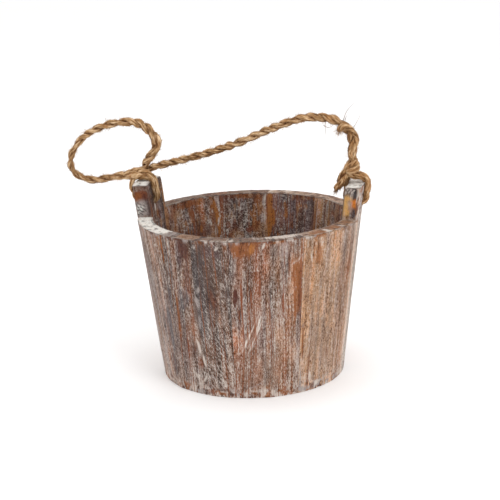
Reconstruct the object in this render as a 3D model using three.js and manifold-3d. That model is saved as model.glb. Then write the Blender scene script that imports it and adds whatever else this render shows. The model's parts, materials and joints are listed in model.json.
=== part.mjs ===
// A small wishing well bucket for plants, coopered without hoops. Ten tapered staves stand round
// a plank bottom, hidden wooden pins join stave to stave, and two opposite staves rise above the
// rim as ears. A jute rope is tied through a bore in each ear: it arches from ear to ear as the
// handle, and its spare length stands out from the left knot as one open loop.
// Lengths are in millimetres and +Z is up. The origin is the centre of the foot, the two ears
// stand towards +X and -X, and the front of the bucket is towards -Y.

import Module from "manifold-3d";
import * as THREE from "three";
import { mergeVertices } from "three/addons/utils/BufferGeometryUtils.js";

// The wall that all the staves are cut from
const rimRadius = 100;
const footRadius = 82.5;
const bodyHeight = 144.5;
const wallThickness = 13.5;
const earRise = 29;
const edgeEase = 0.8;
const jointGap = 0.3;
const wallFacets = 96;

// Widths of the staves round the turn, as shares of it, from the right ear by way of the back
const earWidthShare = 0.075;
const backWidthShares = [0.111, 0.094, 0.096, 0.113];
const frontWidthShares = [0.114, 0.104, 0.106, 0.112];

// The pins between neighbouring staves, with their heights as shares of the body's height
const pinRadius = 2.5;
const pinLength = 18;
const pinEase = 0.5;
const pinClearance = 0.3;
const pinFacets = 12;
const pinHeightShares = { lower: 0.3, upper: 0.78 };

// The bottom board and the croze, the groove in the staves that it sits in
const boardThickness = 9;
const boardEase = 1;
const boardClearance = 0.3;
const chimeHeight = 10;
const crozeDepth = 4;
const plankWidthShares = { front: 0.36, middle: 0.3, back: 0.34 };

// The rope and its bore in each ear
const ropeRadius = 3.6;
const ropeFacets = 10;
const ropeStep = 14.4;
const boreRise = 11;
const boreClearance = 0.9;
const boreFacets = 24;
const ropeStandoff = 4.2;
const lashingFacets = 44;
const ropeSeat = 0.3;

// The knots on the ears: how far the bulk of each one reaches along, across and up
const knotAcross = 6.4;
const knotFacets = 14;
const rightKnot = { along: 6.6, up: 6.1, tiltDegrees: 0, inward: 3 };
const leftKnot = { along: 10.5, up: 6, tiltDegrees: 12, inward: -3.8 };
const tailRadius = 3.3;

// The handle's route from the right knot to the left one, as points along X and Z
const handleRoute = [
  [94, 190], [93, 197], [93, 204.5], [92.5, 212], [89.5, 219], [83.5, 225], [76, 228.8], [66, 230.6],
  [53, 230.4], [39, 227.2], [26, 222.4], [12.5, 217], [0.5, 211.6], [-12, 206.8], [-25, 202.4],
  [-38, 198.4], [-51, 194.8], [-64, 191.6], [-76, 188.6], [-87, 186],
];

// The loop's route from the top of the left knot round to its outer end
const loopRoute = [
  [-94, 190], [-89.5, 196], [-85, 202], [-83.5, 208], [-85.5, 214], [-90, 219.5], [-96, 224],
  [-103, 226.6], [-111, 226.8], [-119.5, 226], [-129, 224], [-138, 220.8], [-147, 216.2],
  [-154.5, 210.4], [-160.5, 203.4], [-164.6, 195.6], [-165.8, 188.4], [-163.8, 181.8], [-158, 176.8],
  [-150, 174], [-141, 173.4], [-132, 175], [-123, 177], [-114.7, 177.9],
];

// The cut tail that hangs from the right knot
const tailRoute = [[89, 181], [84.5, 177.5], [81.5, 172], [79.5, 166.5]];

// Cutting tools reach past what they cut by this much
const overrun = 5;
const mergeTolerance = 0.0001;

const wasm = await Module();
wasm.setup();

const fullTurn = 2 * Math.PI;
const earTop = bodyHeight + earRise;
const boreHeight = bodyHeight + boreRise;
const wallLean = Math.atan2(rimRadius - footRadius, bodyHeight);

function outerRadius(height) {
  return footRadius + height * Math.tan(wallLean);
}

function innerRadius(height) {
  return outerRadius(height) - wallThickness;
}

function middleRadius(height) {
  return outerRadius(height) - wallThickness / 2;
}

// A closed three.js surface as a solid that can be cut and joined
function solidOf(geometry) {
  geometry.deleteAttribute("normal");
  geometry.deleteAttribute("uv");
  const merged = mergeVertices(geometry, mergeTolerance);
  return new wasm.Manifold(
    new wasm.Mesh({
      numProp: 3,
      vertProperties: new Float32Array(merged.attributes.position.array),
      triVerts: new Uint32Array(merged.index.array),
    }),
  );
}

function geometryOf(solid) {
  const mesh = solid.getMesh();
  const geometry = new THREE.BufferGeometry();
  geometry.setAttribute("position", new THREE.BufferAttribute(mesh.vertProperties, 3));
  geometry.setIndex(new THREE.BufferAttribute(mesh.triVerts, 1));
  geometry.computeVertexNormals();
  return geometry;
}

// A profile of radius and height points, turned about +Z
function turnedSolid(profile, facets) {
  const points = profile.map(([radius, height]) => new THREE.Vector2(radius, height));
  const geometry = new THREE.LatheGeometry(points, facets);
  geometry.rotateX(Math.PI / 2);
  return solidOf(geometry);
}

// The full conical wall up to a height, with its edges eased and the croze cut inside
function wallSolid(top) {
  const crozeTop = chimeHeight + boardThickness + 2 * boardClearance;
  const profile = [
    [innerRadius(0) + edgeEase, 0],
    [outerRadius(0) - edgeEase, 0],
    [outerRadius(edgeEase), edgeEase],
    [outerRadius(top - edgeEase), top - edgeEase],
    [outerRadius(top) - edgeEase, top],
    [innerRadius(top) + edgeEase, top],
    [innerRadius(top - edgeEase), top - edgeEase],
    [innerRadius(crozeTop), crozeTop],
    [innerRadius(crozeTop) + crozeDepth, crozeTop],
    [innerRadius(chimeHeight) + crozeDepth, chimeHeight],
    [innerRadius(chimeHeight), chimeHeight],
    [innerRadius(edgeEase), edgeEase],
    [innerRadius(0) + edgeEase, 0],
  ];
  return turnedSolid(profile, wallFacets);
}

// The space of one stave about +X, with both faces set back by half of the joint's gap
function staveSector(angle) {
  const apex = jointGap / 2 / Math.sin(angle / 2);
  const reach = (outerRadius(earTop) + overrun) / Math.cos(angle / 2);
  const outline = new THREE.Shape();
  outline.moveTo(apex, 0);
  outline.lineTo(apex + reach * Math.cos(angle / 2), -reach * Math.sin(angle / 2));
  outline.lineTo(apex + reach * Math.cos(angle / 2), reach * Math.sin(angle / 2));
  outline.closePath();
  const geometry = new THREE.ExtrudeGeometry(outline, {
    depth: earTop + 2 * overrun,
    bevelEnabled: false,
  });
  geometry.translate(0, 0, -overrun);
  return solidOf(geometry);
}

// A round bar along Y about the origin, with its ends eased
function roundBar(radius, length, ease, facets) {
  const profile = [
    [0, -length / 2],
    [radius - ease, -length / 2],
    [radius, ease - length / 2],
    [radius, length / 2 - ease],
    [radius - ease, length / 2],
    [0, length / 2],
  ];
  return turnedSolid(profile, facets).rotate([-90, 0, 0]);
}

// Where a pin's centre lies when its joint is turned to +X
function pinPlace(heightShare) {
  const height = heightShare * bodyHeight;
  return [middleRadius(height), 0, height];
}

// The four half sockets that the pins need in one stave, two at each of its joint faces
function pinSockets(angle) {
  const socket = roundBar(
    pinRadius + pinClearance,
    pinLength + 2 * pinClearance,
    pinEase,
    pinFacets,
  );
  const sockets = [];
  for (const heightShare of Object.values(pinHeightShares)) {
    for (const side of [-1, 1]) {
      const turnDegrees = THREE.MathUtils.radToDeg((side * angle) / 2);
      sockets.push(socket.translate(pinPlace(heightShare)).rotate([0, 0, turnDegrees]));
    }
  }
  return wasm.Manifold.union(sockets);
}

// The rope's bore through an ear about +X, square to the leaning wood
function ropeBore() {
  const boreRadius = ropeRadius + boreClearance;
  const boreLength = wallThickness + 2 * overrun;
  const bore = new THREE.CylinderGeometry(boreRadius, boreRadius, boreLength, boreFacets);
  const leanDegrees = THREE.MathUtils.radToDeg(wallLean);
  return solidOf(bore)
    .rotate([0, 0, 90])
    .rotate([0, leanDegrees, 0])
    .translate([middleRadius(boreHeight), 0, boreHeight]);
}

function staveSolid(angle) {
  return wallSolid(bodyHeight).intersect(staveSector(angle)).subtract(pinSockets(angle));
}

function earStaveSolid(angle) {
  return wallSolid(earTop)
    .intersect(staveSector(angle))
    .subtract(pinSockets(angle))
    .subtract(ropeBore());
}

// The bottom board before it is parted into planks
function boardSolid() {
  const underside = chimeHeight + boardClearance;
  const radius = innerRadius(chimeHeight) + crozeDepth - boardClearance;
  const profile = [
    [0, underside],
    [radius - boardEase, underside],
    [radius, underside + boardEase],
    [radius, underside + boardThickness - boardEase],
    [radius - boardEase, underside + boardThickness],
    [0, underside + boardThickness],
  ];
  return turnedSolid(profile, wallFacets);
}

// One plank of the board, between two places across it, with half of a joint's gap off each side
function plankSolid(fromY, toY) {
  const across = 2 * (rimRadius + overrun);
  const box = new THREE.BoxGeometry(across, toY - fromY - jointGap, across);
  box.translate(0, (fromY + toY) / 2, 0);
  return boardSolid().intersect(solidOf(box));
}

// A round section swept along an open route of X and Z points, with a ball on each end
function ropeSolid(route, radius) {
  const curve = new THREE.CatmullRomCurve3(
    route.map(([x, z]) => new THREE.Vector3(x, 0, z)),
    false,
    "centripetal",
  );
  const section = new THREE.Shape();
  for (let corner = 0; corner < ropeFacets; corner += 1) {
    const angle = (corner / ropeFacets) * fullTurn;
    const place = [radius * Math.cos(angle), radius * Math.sin(angle)];
    if (corner === 0) {
      section.moveTo(...place);
    } else {
      section.lineTo(...place);
    }
  }
  section.closePath();
  const sweep = new THREE.ExtrudeGeometry(section, {
    steps: Math.ceil(curve.getLength() / ropeStep),
    extrudePath: curve,
    bevelEnabled: false,
  });
  const ends = [curve.getPoint(0), curve.getPoint(1)].map((place) => {
    const ball = new THREE.SphereGeometry(radius, ropeFacets, ropeFacets / 2);
    ball.translate(place.x, place.y, place.z);
    return solidOf(ball);
  });
  return wasm.Manifold.union([solidOf(sweep), ...ends]);
}

// The turn of rope through the bore and over the top of an ear that stands about +X. It runs
// one standoff clear of the wood and rounds each corner at that distance.
function lashingSolid() {
  const half = wallThickness / 2;
  const rise = (earTop - boreHeight) / Math.cos(wallLean) + half * Math.tan(wallLean);
  const track = new THREE.Path();
  track.moveTo(-half, 0);
  track.lineTo(half, 0);
  track.absarc(half, ropeStandoff, ropeStandoff, -Math.PI / 2, 0, false);
  track.lineTo(half + ropeStandoff, rise);
  track.absarc(half, rise, ropeStandoff, 0, Math.PI / 2, false);
  track.lineTo(-half, rise + ropeStandoff);
  track.absarc(-half, rise, ropeStandoff, Math.PI / 2, Math.PI, false);
  track.lineTo(-half - ropeStandoff, ropeStandoff);
  track.absarc(-half, ropeStandoff, ropeStandoff, Math.PI, 1.5 * Math.PI, false);
  const places = track.getSpacedPoints(lashingFacets);
  places.pop();
  const curve = new THREE.CatmullRomCurve3(
    places.map((place) => new THREE.Vector3(place.x, 0, place.y)),
    true,
    "centripetal",
  );
  const tube = new THREE.TubeGeometry(curve, lashingFacets, ropeRadius, ropeFacets, true);
  const leanDegrees = THREE.MathUtils.radToDeg(wallLean);
  return solidOf(tube)
    .rotate([0, leanDegrees, 0])
    .translate([middleRadius(boreHeight), 0, boreHeight]);
}

// The bulk of a knot, an oval that rests on the top of an ear that stands about +X
function knotSolid({ along, up, tiltDegrees, inward }) {
  const tilt = THREE.MathUtils.degToRad(tiltDegrees);
  const reachDown = Math.hypot(along * Math.sin(tilt), up * Math.cos(tilt));
  const oval = new THREE.SphereGeometry(1, knotFacets, knotFacets / 2);
  oval.scale(along, knotAcross, up);
  oval.rotateY(tilt);
  oval.translate(middleRadius(earTop) - inward, 0, earTop + ropeSeat + reachDown);
  return solidOf(oval);
}

// Materials
const woodLooks = {
  redBrown: { color: 0x7d5443, roughness: 0.85 },
  greyBrown: { color: 0x6b5a52, roughness: 0.88 },
  paleBrown: { color: 0x9a7860, roughness: 0.84 },
  darkBrown: { color: 0x54413a, roughness: 0.88 },
  pinWood: { color: 0xc9a877, roughness: 0.7 },
};
const ropeLook = { color: 0xb08654, roughness: 0.95 };

function namedMesh(name, solid, look) {
  const material = new THREE.MeshStandardMaterial({ ...look, metalness: 0 });
  const mesh = new THREE.Mesh(geometryOf(solid), material);
  mesh.name = name;
  return mesh;
}

// The ring of staves, in the order of their places round the turn
const ear = (name) => ({ name, share: earWidthShare, isEar: true, look: woodLooks.redBrown });
const backLooks = [woodLooks.darkBrown, woodLooks.greyBrown, woodLooks.darkBrown, woodLooks.redBrown];
const frontLooks = [woodLooks.greyBrown, woodLooks.darkBrown, woodLooks.redBrown, woodLooks.paleBrown];
const staveRing = [
  ear("ear_stave_right"),
  ...backWidthShares.map((share, place) => ({
    name: `stave_back_${place + 1}`,
    share,
    look: backLooks[place],
  })),
  ear("ear_stave_left"),
  ...frontWidthShares.map((share, place) => ({
    name: `stave_front_${place + 1}`,
    share,
    look: frontLooks[place],
  })),
];

// The shares are taken of their own sum, and the ring is turned so that the two ears stand
// alike on each side of the bucket's middle.
const sumOf = (shares) => shares.reduce((sum, share) => sum + share, 0);
const shareSum = sumOf(staveRing.map((stave) => stave.share));
const earToEarAngle = ((earWidthShare + sumOf(backWidthShares)) / shareSum) * fullTurn;
const rightEarAngle = (Math.PI - earToEarAngle) / 2;
const leftEarAngle = rightEarAngle + earToEarAngle;
const earLine = middleRadius(earTop) * Math.sin(rightEarAngle);

const bucket = new THREE.Group();

function addStaves() {
  let startAngle = rightEarAngle - (earWidthShare / shareSum / 2) * fullTurn;
  staveRing.forEach(({ name, share, isEar, look }, place) => {
    const angle = (share / shareSum) * fullTurn;
    const solid = isEar ? earStaveSolid(angle) : staveSolid(angle);
    const stave = namedMesh(name, solid, look);
    stave.rotation.z = startAngle + angle / 2;
    bucket.add(stave);
    addPins(place + 1, startAngle);
    startAngle += angle;
  });
}

function addPins(joint, jointAngle) {
  const solid = roundBar(pinRadius, pinLength, pinEase, pinFacets);
  for (const [level, heightShare] of Object.entries(pinHeightShares)) {
    const turned = new THREE.Group();
    const pin = namedMesh(`stave_pin_${joint}_${level}`, solid, woodLooks.pinWood);
    pin.position.set(...pinPlace(heightShare));
    turned.rotation.z = jointAngle;
    turned.add(pin);
    bucket.add(turned);
  }
}

function addBottom() {
  const across = 2 * (innerRadius(chimeHeight) + crozeDepth - boardClearance);
  const planksSum = sumOf(Object.values(plankWidthShares));
  let fromY = -across / 2;
  for (const [place, share] of Object.entries(plankWidthShares)) {
    const toY = fromY + (share / planksSum) * across;
    bucket.add(namedMesh(`bottom_plank_${place}`, plankSolid(fromY, toY), woodLooks.darkBrown));
    fromY = toY;
  }
}

// Each knot is one lashing round its ear with the knot's bulk on top, and the right one has the
// rope's cut tail as well. The tail's route is drawn along X, so it is turned back by the ear's
// angle before the whole knot is turned to its ear.
function addKnots() {
  const earLineShift = [0, earLine, 0];
  const backToEar = [0, 0, -THREE.MathUtils.radToDeg(rightEarAngle)];
  const tail = ropeSolid(tailRoute, tailRadius).translate(earLineShift).rotate(backToEar);
  const right = wasm.Manifold.union([lashingSolid(), knotSolid(rightKnot), tail]);
  const left = wasm.Manifold.union([lashingSolid(), knotSolid(leftKnot)]);
  const rightMesh = namedMesh("rope_knot_right", right, ropeLook);
  const leftMesh = namedMesh("rope_knot_left", left, ropeLook);
  rightMesh.rotation.z = rightEarAngle;
  leftMesh.rotation.z = leftEarAngle;
  bucket.add(rightMesh, leftMesh);
}

function addFreeRope() {
  const routes = { rope_handle: handleRoute, rope_loop: loopRoute };
  for (const [name, route] of Object.entries(routes)) {
    const mesh = namedMesh(name, ropeSolid(route, ropeRadius), ropeLook);
    mesh.position.y = earLine;
    bucket.add(mesh);
  }
}

addStaves();
addBottom();
addKnots();
addFreeRope();

export default bucket;
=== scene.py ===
# A small coopered bucket of weathered, whitewashed wood with a twisted jute rope, dressed round
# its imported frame. Lengths are in metres where nothing else is said, +Z is up, and the front of
# the bucket is towards -Y.

import json
import math
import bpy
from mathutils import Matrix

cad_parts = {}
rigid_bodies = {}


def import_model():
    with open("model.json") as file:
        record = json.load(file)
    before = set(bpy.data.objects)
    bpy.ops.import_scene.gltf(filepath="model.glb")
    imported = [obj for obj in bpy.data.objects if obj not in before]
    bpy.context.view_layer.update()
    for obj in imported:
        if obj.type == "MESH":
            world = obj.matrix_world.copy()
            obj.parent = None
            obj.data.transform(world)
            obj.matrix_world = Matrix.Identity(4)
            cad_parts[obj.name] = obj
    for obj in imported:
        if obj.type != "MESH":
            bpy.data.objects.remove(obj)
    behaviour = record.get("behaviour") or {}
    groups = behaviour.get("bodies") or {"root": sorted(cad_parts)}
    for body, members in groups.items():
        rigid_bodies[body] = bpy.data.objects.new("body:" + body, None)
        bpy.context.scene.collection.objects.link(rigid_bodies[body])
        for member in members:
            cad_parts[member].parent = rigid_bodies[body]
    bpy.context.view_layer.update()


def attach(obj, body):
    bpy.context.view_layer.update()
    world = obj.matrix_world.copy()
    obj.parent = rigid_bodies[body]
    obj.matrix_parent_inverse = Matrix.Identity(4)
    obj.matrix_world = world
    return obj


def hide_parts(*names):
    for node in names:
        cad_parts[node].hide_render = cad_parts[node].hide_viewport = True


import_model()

from types import SimpleNamespace

import bpy
import numpy as np
from mathutils import Matrix, Vector


# The camera stands at the photograph's viewing angle: a little to the right of the front, and
# looking down into the mouth. The picture is square, and the camera leans slightly to one side.
camera_turn = math.radians(11.35)
camera_rise = math.radians(14.956)
camera_roll = math.radians(-1.89)
camera_distance = 1.15
aim_height = 0.1105
aim_right = -0.00046
sensor_width = 36
lens_per_frame = 2.5464

level_right = Vector((math.cos(camera_turn), math.sin(camera_turn), 0))
camera_back = Vector((
    math.sin(camera_turn) * math.cos(camera_rise),
    -math.cos(camera_turn) * math.cos(camera_rise),
    math.sin(camera_rise),
))
aim = Vector((0, 0, aim_height)) + aim_right * level_right
camera_data = bpy.data.cameras.new("camera")
camera_data.sensor_width = sensor_width
camera_data.lens = lens_per_frame * sensor_width
camera_data.clip_start = 0.05
camera_data.clip_end = 100
camera = bpy.data.objects.new("camera", camera_data)
bpy.context.scene.collection.objects.link(camera)
camera.location = Vector((0, 0, aim_height)) + camera_distance * camera_back
sight = (aim - camera.location).normalized()
straight_right = sight.cross(Vector((0, 0, 1))).normalized()
straight_up = straight_right.cross(sight)
turned_right = straight_right * math.cos(camera_roll) + straight_up * math.sin(camera_roll)
turned_up = straight_up * math.cos(camera_roll) - straight_right * math.sin(camera_roll)
camera.rotation_mode = "QUATERNION"
camera.rotation_quaternion = Matrix((turned_right, turned_up, -sight)).transposed().to_quaternion()
bpy.context.scene.camera = camera


# The studio: a plain pale floor that runs far past the frame, pale light from all round, and
# two large soft lamps. The stronger one hangs at the right of the camera.
floor_radius = 30
floor_colour = (0.96, 0.96, 0.965, 1)
surround_colour = (1.0, 0.99, 0.98, 1)
surround_strength = 1.05


def new_finish(name, roughness, specular=0.5):
    """A new material, with its nodes and the shader that they lead to."""
    finish = bpy.data.materials.new(name)
    finish.use_nodes = True
    shader = finish.node_tree.nodes["Principled BSDF"]
    shader.inputs["Roughness"].default_value = roughness
    shader.inputs["Specular IOR Level"].default_value = specular
    return finish, finish.node_tree, shader


bpy.ops.object.select_all(action="DESELECT")
bpy.ops.mesh.primitive_circle_add(vertices=64, radius=floor_radius, fill_type="NGON")
floor = bpy.context.object
floor.name = "studio_floor"
floor_finish, _, floor_shader = new_finish("studio_floor", roughness=0.9)
floor_shader.inputs["Base Color"].default_value = floor_colour
floor.data.materials.append(floor_finish)

surround = bpy.data.worlds.new("surround")
surround.use_nodes = True
surround.node_tree.nodes["Background"].inputs["Color"].default_value = surround_colour
surround.node_tree.nodes["Background"].inputs["Strength"].default_value = surround_strength
bpy.context.scene.world = surround
bpy.context.scene.view_settings.view_transform = "Standard"


def soft_lamp(name, place, size, power):
    """A square studio lamp at a place, turned to the bucket."""
    light = bpy.data.lights.new(name, "AREA")
    light.size = size
    light.energy = power
    lamp = bpy.data.objects.new(name, light)
    bpy.context.scene.collection.objects.link(lamp)
    lamp.location = place
    lamp.rotation_mode = "QUATERNION"
    lamp.rotation_quaternion = (aim - lamp.location).to_track_quat("-Z", "Y")


soft_lamp("main_lamp", place=Vector((0.9, -0.9, 1.3)), size=0.7, power=8)
soft_lamp("top_lamp", place=Vector((-0.3, 0.2, 1.7)), size=1.0, power=5)


# The handle. The real one is a rope of two jute strands, about 7 mm thick, that rises from the
# knot on the right ear, bends over and comes down in a long slope to the knot on the left one.
# It is laid to the right, and stiff enough to stand where it was put.
strand_radius = 0.0021
strand_spread = 0.80
strand_sides = 30
ring_spacing = 0.0006
steps_between_points = 24
rope_line_y = 0.0033432
lay_looseness = 0.26
lay_wave = 0.03
fibre_turn = 250
ridge_counts = (2, 3, 4, 5, 7, 9, 11, 13)
ridge_drift = 260
ridge_swell = 0.036
fibre_swell = 0.030
slow_swell = 0.10
swell_wave = 0.008
strand_thickness = 0.95
strand_width = 1.04
first_side = (0.31, 0.95, 0.05)
handle_route = [
    (0.094, 0.190), (0.093, 0.197), (0.093, 0.2045), (0.0925, 0.212), (0.0895, 0.219),
    (0.0835, 0.225), (0.076, 0.2288), (0.066, 0.2306), (0.053, 0.2304), (0.039, 0.2272),
    (0.026, 0.2224), (0.0125, 0.217), (0.0005, 0.2116), (-0.012, 0.2068), (-0.025, 0.2024),
    (-0.038, 0.1984), (-0.051, 0.1948), (-0.064, 0.1916), (-0.076, 0.1886), (-0.087, 0.186),
]


def smooth_line(points, spacing=ring_spacing):
    """Evenly spaced places on a smooth curve through given points."""
    points = np.array(points, float)
    points = np.vstack([2 * points[0] - points[1], points, 2 * points[-1] - points[-2]])
    places = []
    for a, b, c, d in zip(points[:-3], points[1:-2], points[2:-1], points[3:]):
        at_b = math.sqrt(np.linalg.norm(b - a))
        at_c = at_b + math.sqrt(np.linalg.norm(c - b))
        at_d = at_c + math.sqrt(np.linalg.norm(d - c))
        t = np.linspace(at_b, at_c, steps_between_points, endpoint=False)[:, None]
        ab = a + (b - a) * t / at_b
        bc = b + (c - b) * (t - at_b) / (at_c - at_b)
        cd = c + (d - c) * (t - at_c) / (at_d - at_c)
        abc = ab + (bc - ab) * t / at_c
        bcd = bc + (cd - bc) * (t - at_b) / (at_d - at_b)
        places.append(abc + (bcd - abc) * (t - at_b) / (at_c - at_b))
    places = np.vstack([*places, points[-2:-1]])
    run = np.concatenate([[0], np.cumsum(np.linalg.norm(np.diff(places, axis=0), axis=1))])
    even = np.linspace(0, run[-1], max(4, round(run[-1] / spacing)))
    return np.stack([np.interp(even, run, places[:, k]) for k in range(3)], axis=1)


def frames_along(line):
    """Two directions square to a line at each place, which turn as little as they can."""
    ahead = np.gradient(line, axis=0)
    ahead /= np.linalg.norm(ahead, axis=1)[:, None]
    side = np.cross(ahead[0], first_side)
    sides = []
    for direction in ahead:
        side = side - side.dot(direction) * direction
        side = side / np.linalg.norm(side)
        sides.append(side)
    sides = np.array(sides)
    return sides, np.cross(ahead, sides)


def run_of(line):
    """How far along a line each of its places is."""
    return np.concatenate([[0], np.cumsum(np.linalg.norm(np.diff(line, axis=0), axis=1))])


def slow_noise(run, wavelength, seed):
    """A smooth random value between about -1 and 1 along a run."""
    random = np.random.default_rng(seed)
    waves = 2 * math.pi / (wavelength * random.uniform(0.7, 1.9, 5))
    turns = random.uniform(0, 2 * math.pi, 5)
    return np.sin(run[:, None] * waves + turns).sum(axis=1) / 2.6


def strand_surface(line, offset, phase, radius, seed):
    """The rings of one strand that winds round a line, where its fibres run on each ring, and how
    far out in the rope each place is."""
    side, up = frames_along(line)
    run = run_of(line)
    outward = np.cos(phase)[:, None] * side + np.sin(phase)[:, None] * up
    centre = line + np.asarray(offset).reshape(-1, 1) * outward
    along = np.gradient(centre, axis=0)
    along /= np.linalg.norm(along, axis=1)[:, None]
    outward = outward - (outward * along).sum(axis=1)[:, None] * along
    outward /= np.linalg.norm(outward, axis=1)[:, None]
    across = np.cross(along, outward)
    angle = np.linspace(0, 2 * math.pi, strand_sides, endpoint=False)
    fibre_angle = angle[None, :] + fibre_turn * run[:, None]
    random = np.random.default_rng(seed)
    relief = np.zeros_like(fibre_angle)
    for ridges in ridge_counts:
        drift = random.normal(0, ridge_drift, 1)
        ridge_angle = ridges * fibre_angle + drift * run[:, None] + random.uniform(0, 6.3)
        relief += np.sin(ridge_angle) / ridges**0.6
    rough = random.normal(0, fibre_swell, (len(line), strand_sides))
    swell = 1 + slow_swell * slow_noise(run, swell_wave, seed + 1)[:, None]
    swell = swell + ridge_swell * relief + rough
    reach = (np.asarray(radius) * np.ones(len(line)))[:, None] * swell
    rings = (
        centre[:, None, :]
        + (reach * np.cos(angle) * strand_thickness)[:, :, None] * outward[:, None, :]
        + (reach * np.sin(angle) * strand_width)[:, :, None] * across[:, None, :]
    )
    fibre = np.stack([
        np.cos(fibre_angle) * strand_radius + seed,
        np.sin(fibre_angle) * strand_radius,
        np.repeat(run[:, None], strand_sides, axis=1),
    ], axis=2)
    outermost = (np.asarray(offset) + np.asarray(radius)) * np.ones(len(line))
    depth = np.linalg.norm(rings - line[:, None, :], axis=2) / outermost[:, None]
    return rings, fibre, depth


def mesh_of_tubes(name, tubes):
    """One mesh of closed tubes, each given as its rings, its fibre places and its depths."""
    points, faces, fibres, depths = [], [], [], []
    first = 0
    for rings, fibre, depth in tubes:
        count, sides = rings.shape[:2]
        index = first + np.arange(count * sides).reshape(count, sides)
        beside = np.roll(index, -1, axis=1)
        quads = np.stack([index[:-1], beside[:-1], beside[1:], index[1:]], axis=2)
        faces += quads.reshape(-1, 4).tolist()
        faces += [index[0][::-1].tolist(), index[-1].tolist()]
        points.append(rings.reshape(-1, 3))
        fibres.append(fibre.reshape(-1, 3))
        depths.append(depth.reshape(-1))
        first += count * sides
    mesh = bpy.data.meshes.new(name)
    mesh.from_pydata(np.vstack(points).tolist(), [], faces)
    fibre_places = mesh.attributes.new("fibre", "FLOAT_VECTOR", "POINT")
    fibre_places.data.foreach_set("vector", np.vstack(fibres).ravel())
    mesh.attributes.new("depth", "FLOAT", "POINT").data.foreach_set("value", np.concatenate(depths))
    mesh.shade_smooth()
    piece = bpy.data.objects.new(name, mesh)
    bpy.context.scene.collection.objects.link(piece)
    return piece


def colour_and_bump(tree, shader, colour, height, strength, distance):
    """Gives a shader its colour, and a surface raised by a height."""
    tree.links.new(colour, shader.inputs["Base Color"])
    bump = tree.nodes.new("ShaderNodeBump")
    bump.inputs["Strength"].default_value = strength
    bump.inputs["Distance"].default_value = distance
    tree.links.new(height, bump.inputs["Height"])
    tree.links.new(bump.outputs["Normal"], shader.inputs["Normal"])


def noted(tree, attribute, output="Fac"):
    """What a mesh notes at each place under an attribute's name."""
    made = tree.nodes.new("ShaderNodeAttribute")
    made.attribute_name = attribute
    return made.outputs[output]


def noise_of(tree, place, stretch, scale, detail=3, rough=0.55):
    """A noise on places that are stretched along each axis first."""
    mapping = tree.nodes.new("ShaderNodeMapping")
    mapping.inputs["Scale"].default_value = stretch
    tree.links.new(place, mapping.inputs["Vector"])
    noise = tree.nodes.new("ShaderNodeTexNoise")
    noise.inputs["Scale"].default_value = scale
    noise.inputs["Detail"].default_value = detail
    noise.inputs["Roughness"].default_value = rough
    tree.links.new(mapping.outputs["Vector"], noise.inputs["Vector"])
    return noise.outputs["Fac"]


def give(tree, value, socket):
    """Gives a socket its value, which may come from another socket."""
    if isinstance(value, bpy.types.NodeSocket):
        tree.links.new(value, socket)
    else:
        socket.default_value = value


def reckon(tree, operation, *values):
    """The result of a sum on values, sockets among them."""
    made = tree.nodes.new("ShaderNodeMath")
    made.operation = operation
    for place, value in enumerate(values):
        give(tree, value, made.inputs[place])
    return made.outputs[0]


def step_between(tree, value, start, end, highest=1, way="SMOOTHSTEP"):
    """0 where a value is below start and the highest above end, with a step between them."""
    made = tree.nodes.new("ShaderNodeMapRange")
    made.interpolation_type = way
    tree.links.new(value, made.inputs["Value"])
    made.inputs["From Min"].default_value = start
    made.inputs["From Max"].default_value = end
    made.inputs["To Max"].default_value = highest
    return made.outputs["Result"]


def layered(tree, base, colour, amount, way="MIX"):
    """A colour laid over a base by an amount."""
    made = tree.nodes.new("ShaderNodeMix")
    made.data_type = "RGBA"
    made.blend_type = way
    give(tree, amount, made.inputs["Factor"])
    give(tree, base, made.inputs["A"])
    give(tree, colour, made.inputs["B"])
    return made.outputs["Result"]


def shades(tree, value, *stops):
    """The colours that a value runs through, each given with its place."""
    made = tree.nodes.new("ShaderNodeValToRGB")
    while len(made.color_ramp.elements) < len(stops):
        made.color_ramp.elements.new(1)
    for element, (place, colour) in zip(made.color_ramp.elements, stops):
        element.position = place
        element.color = colour
    tree.links.new(value, made.inputs["Fac"])
    return made.outputs["Color"]


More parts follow.
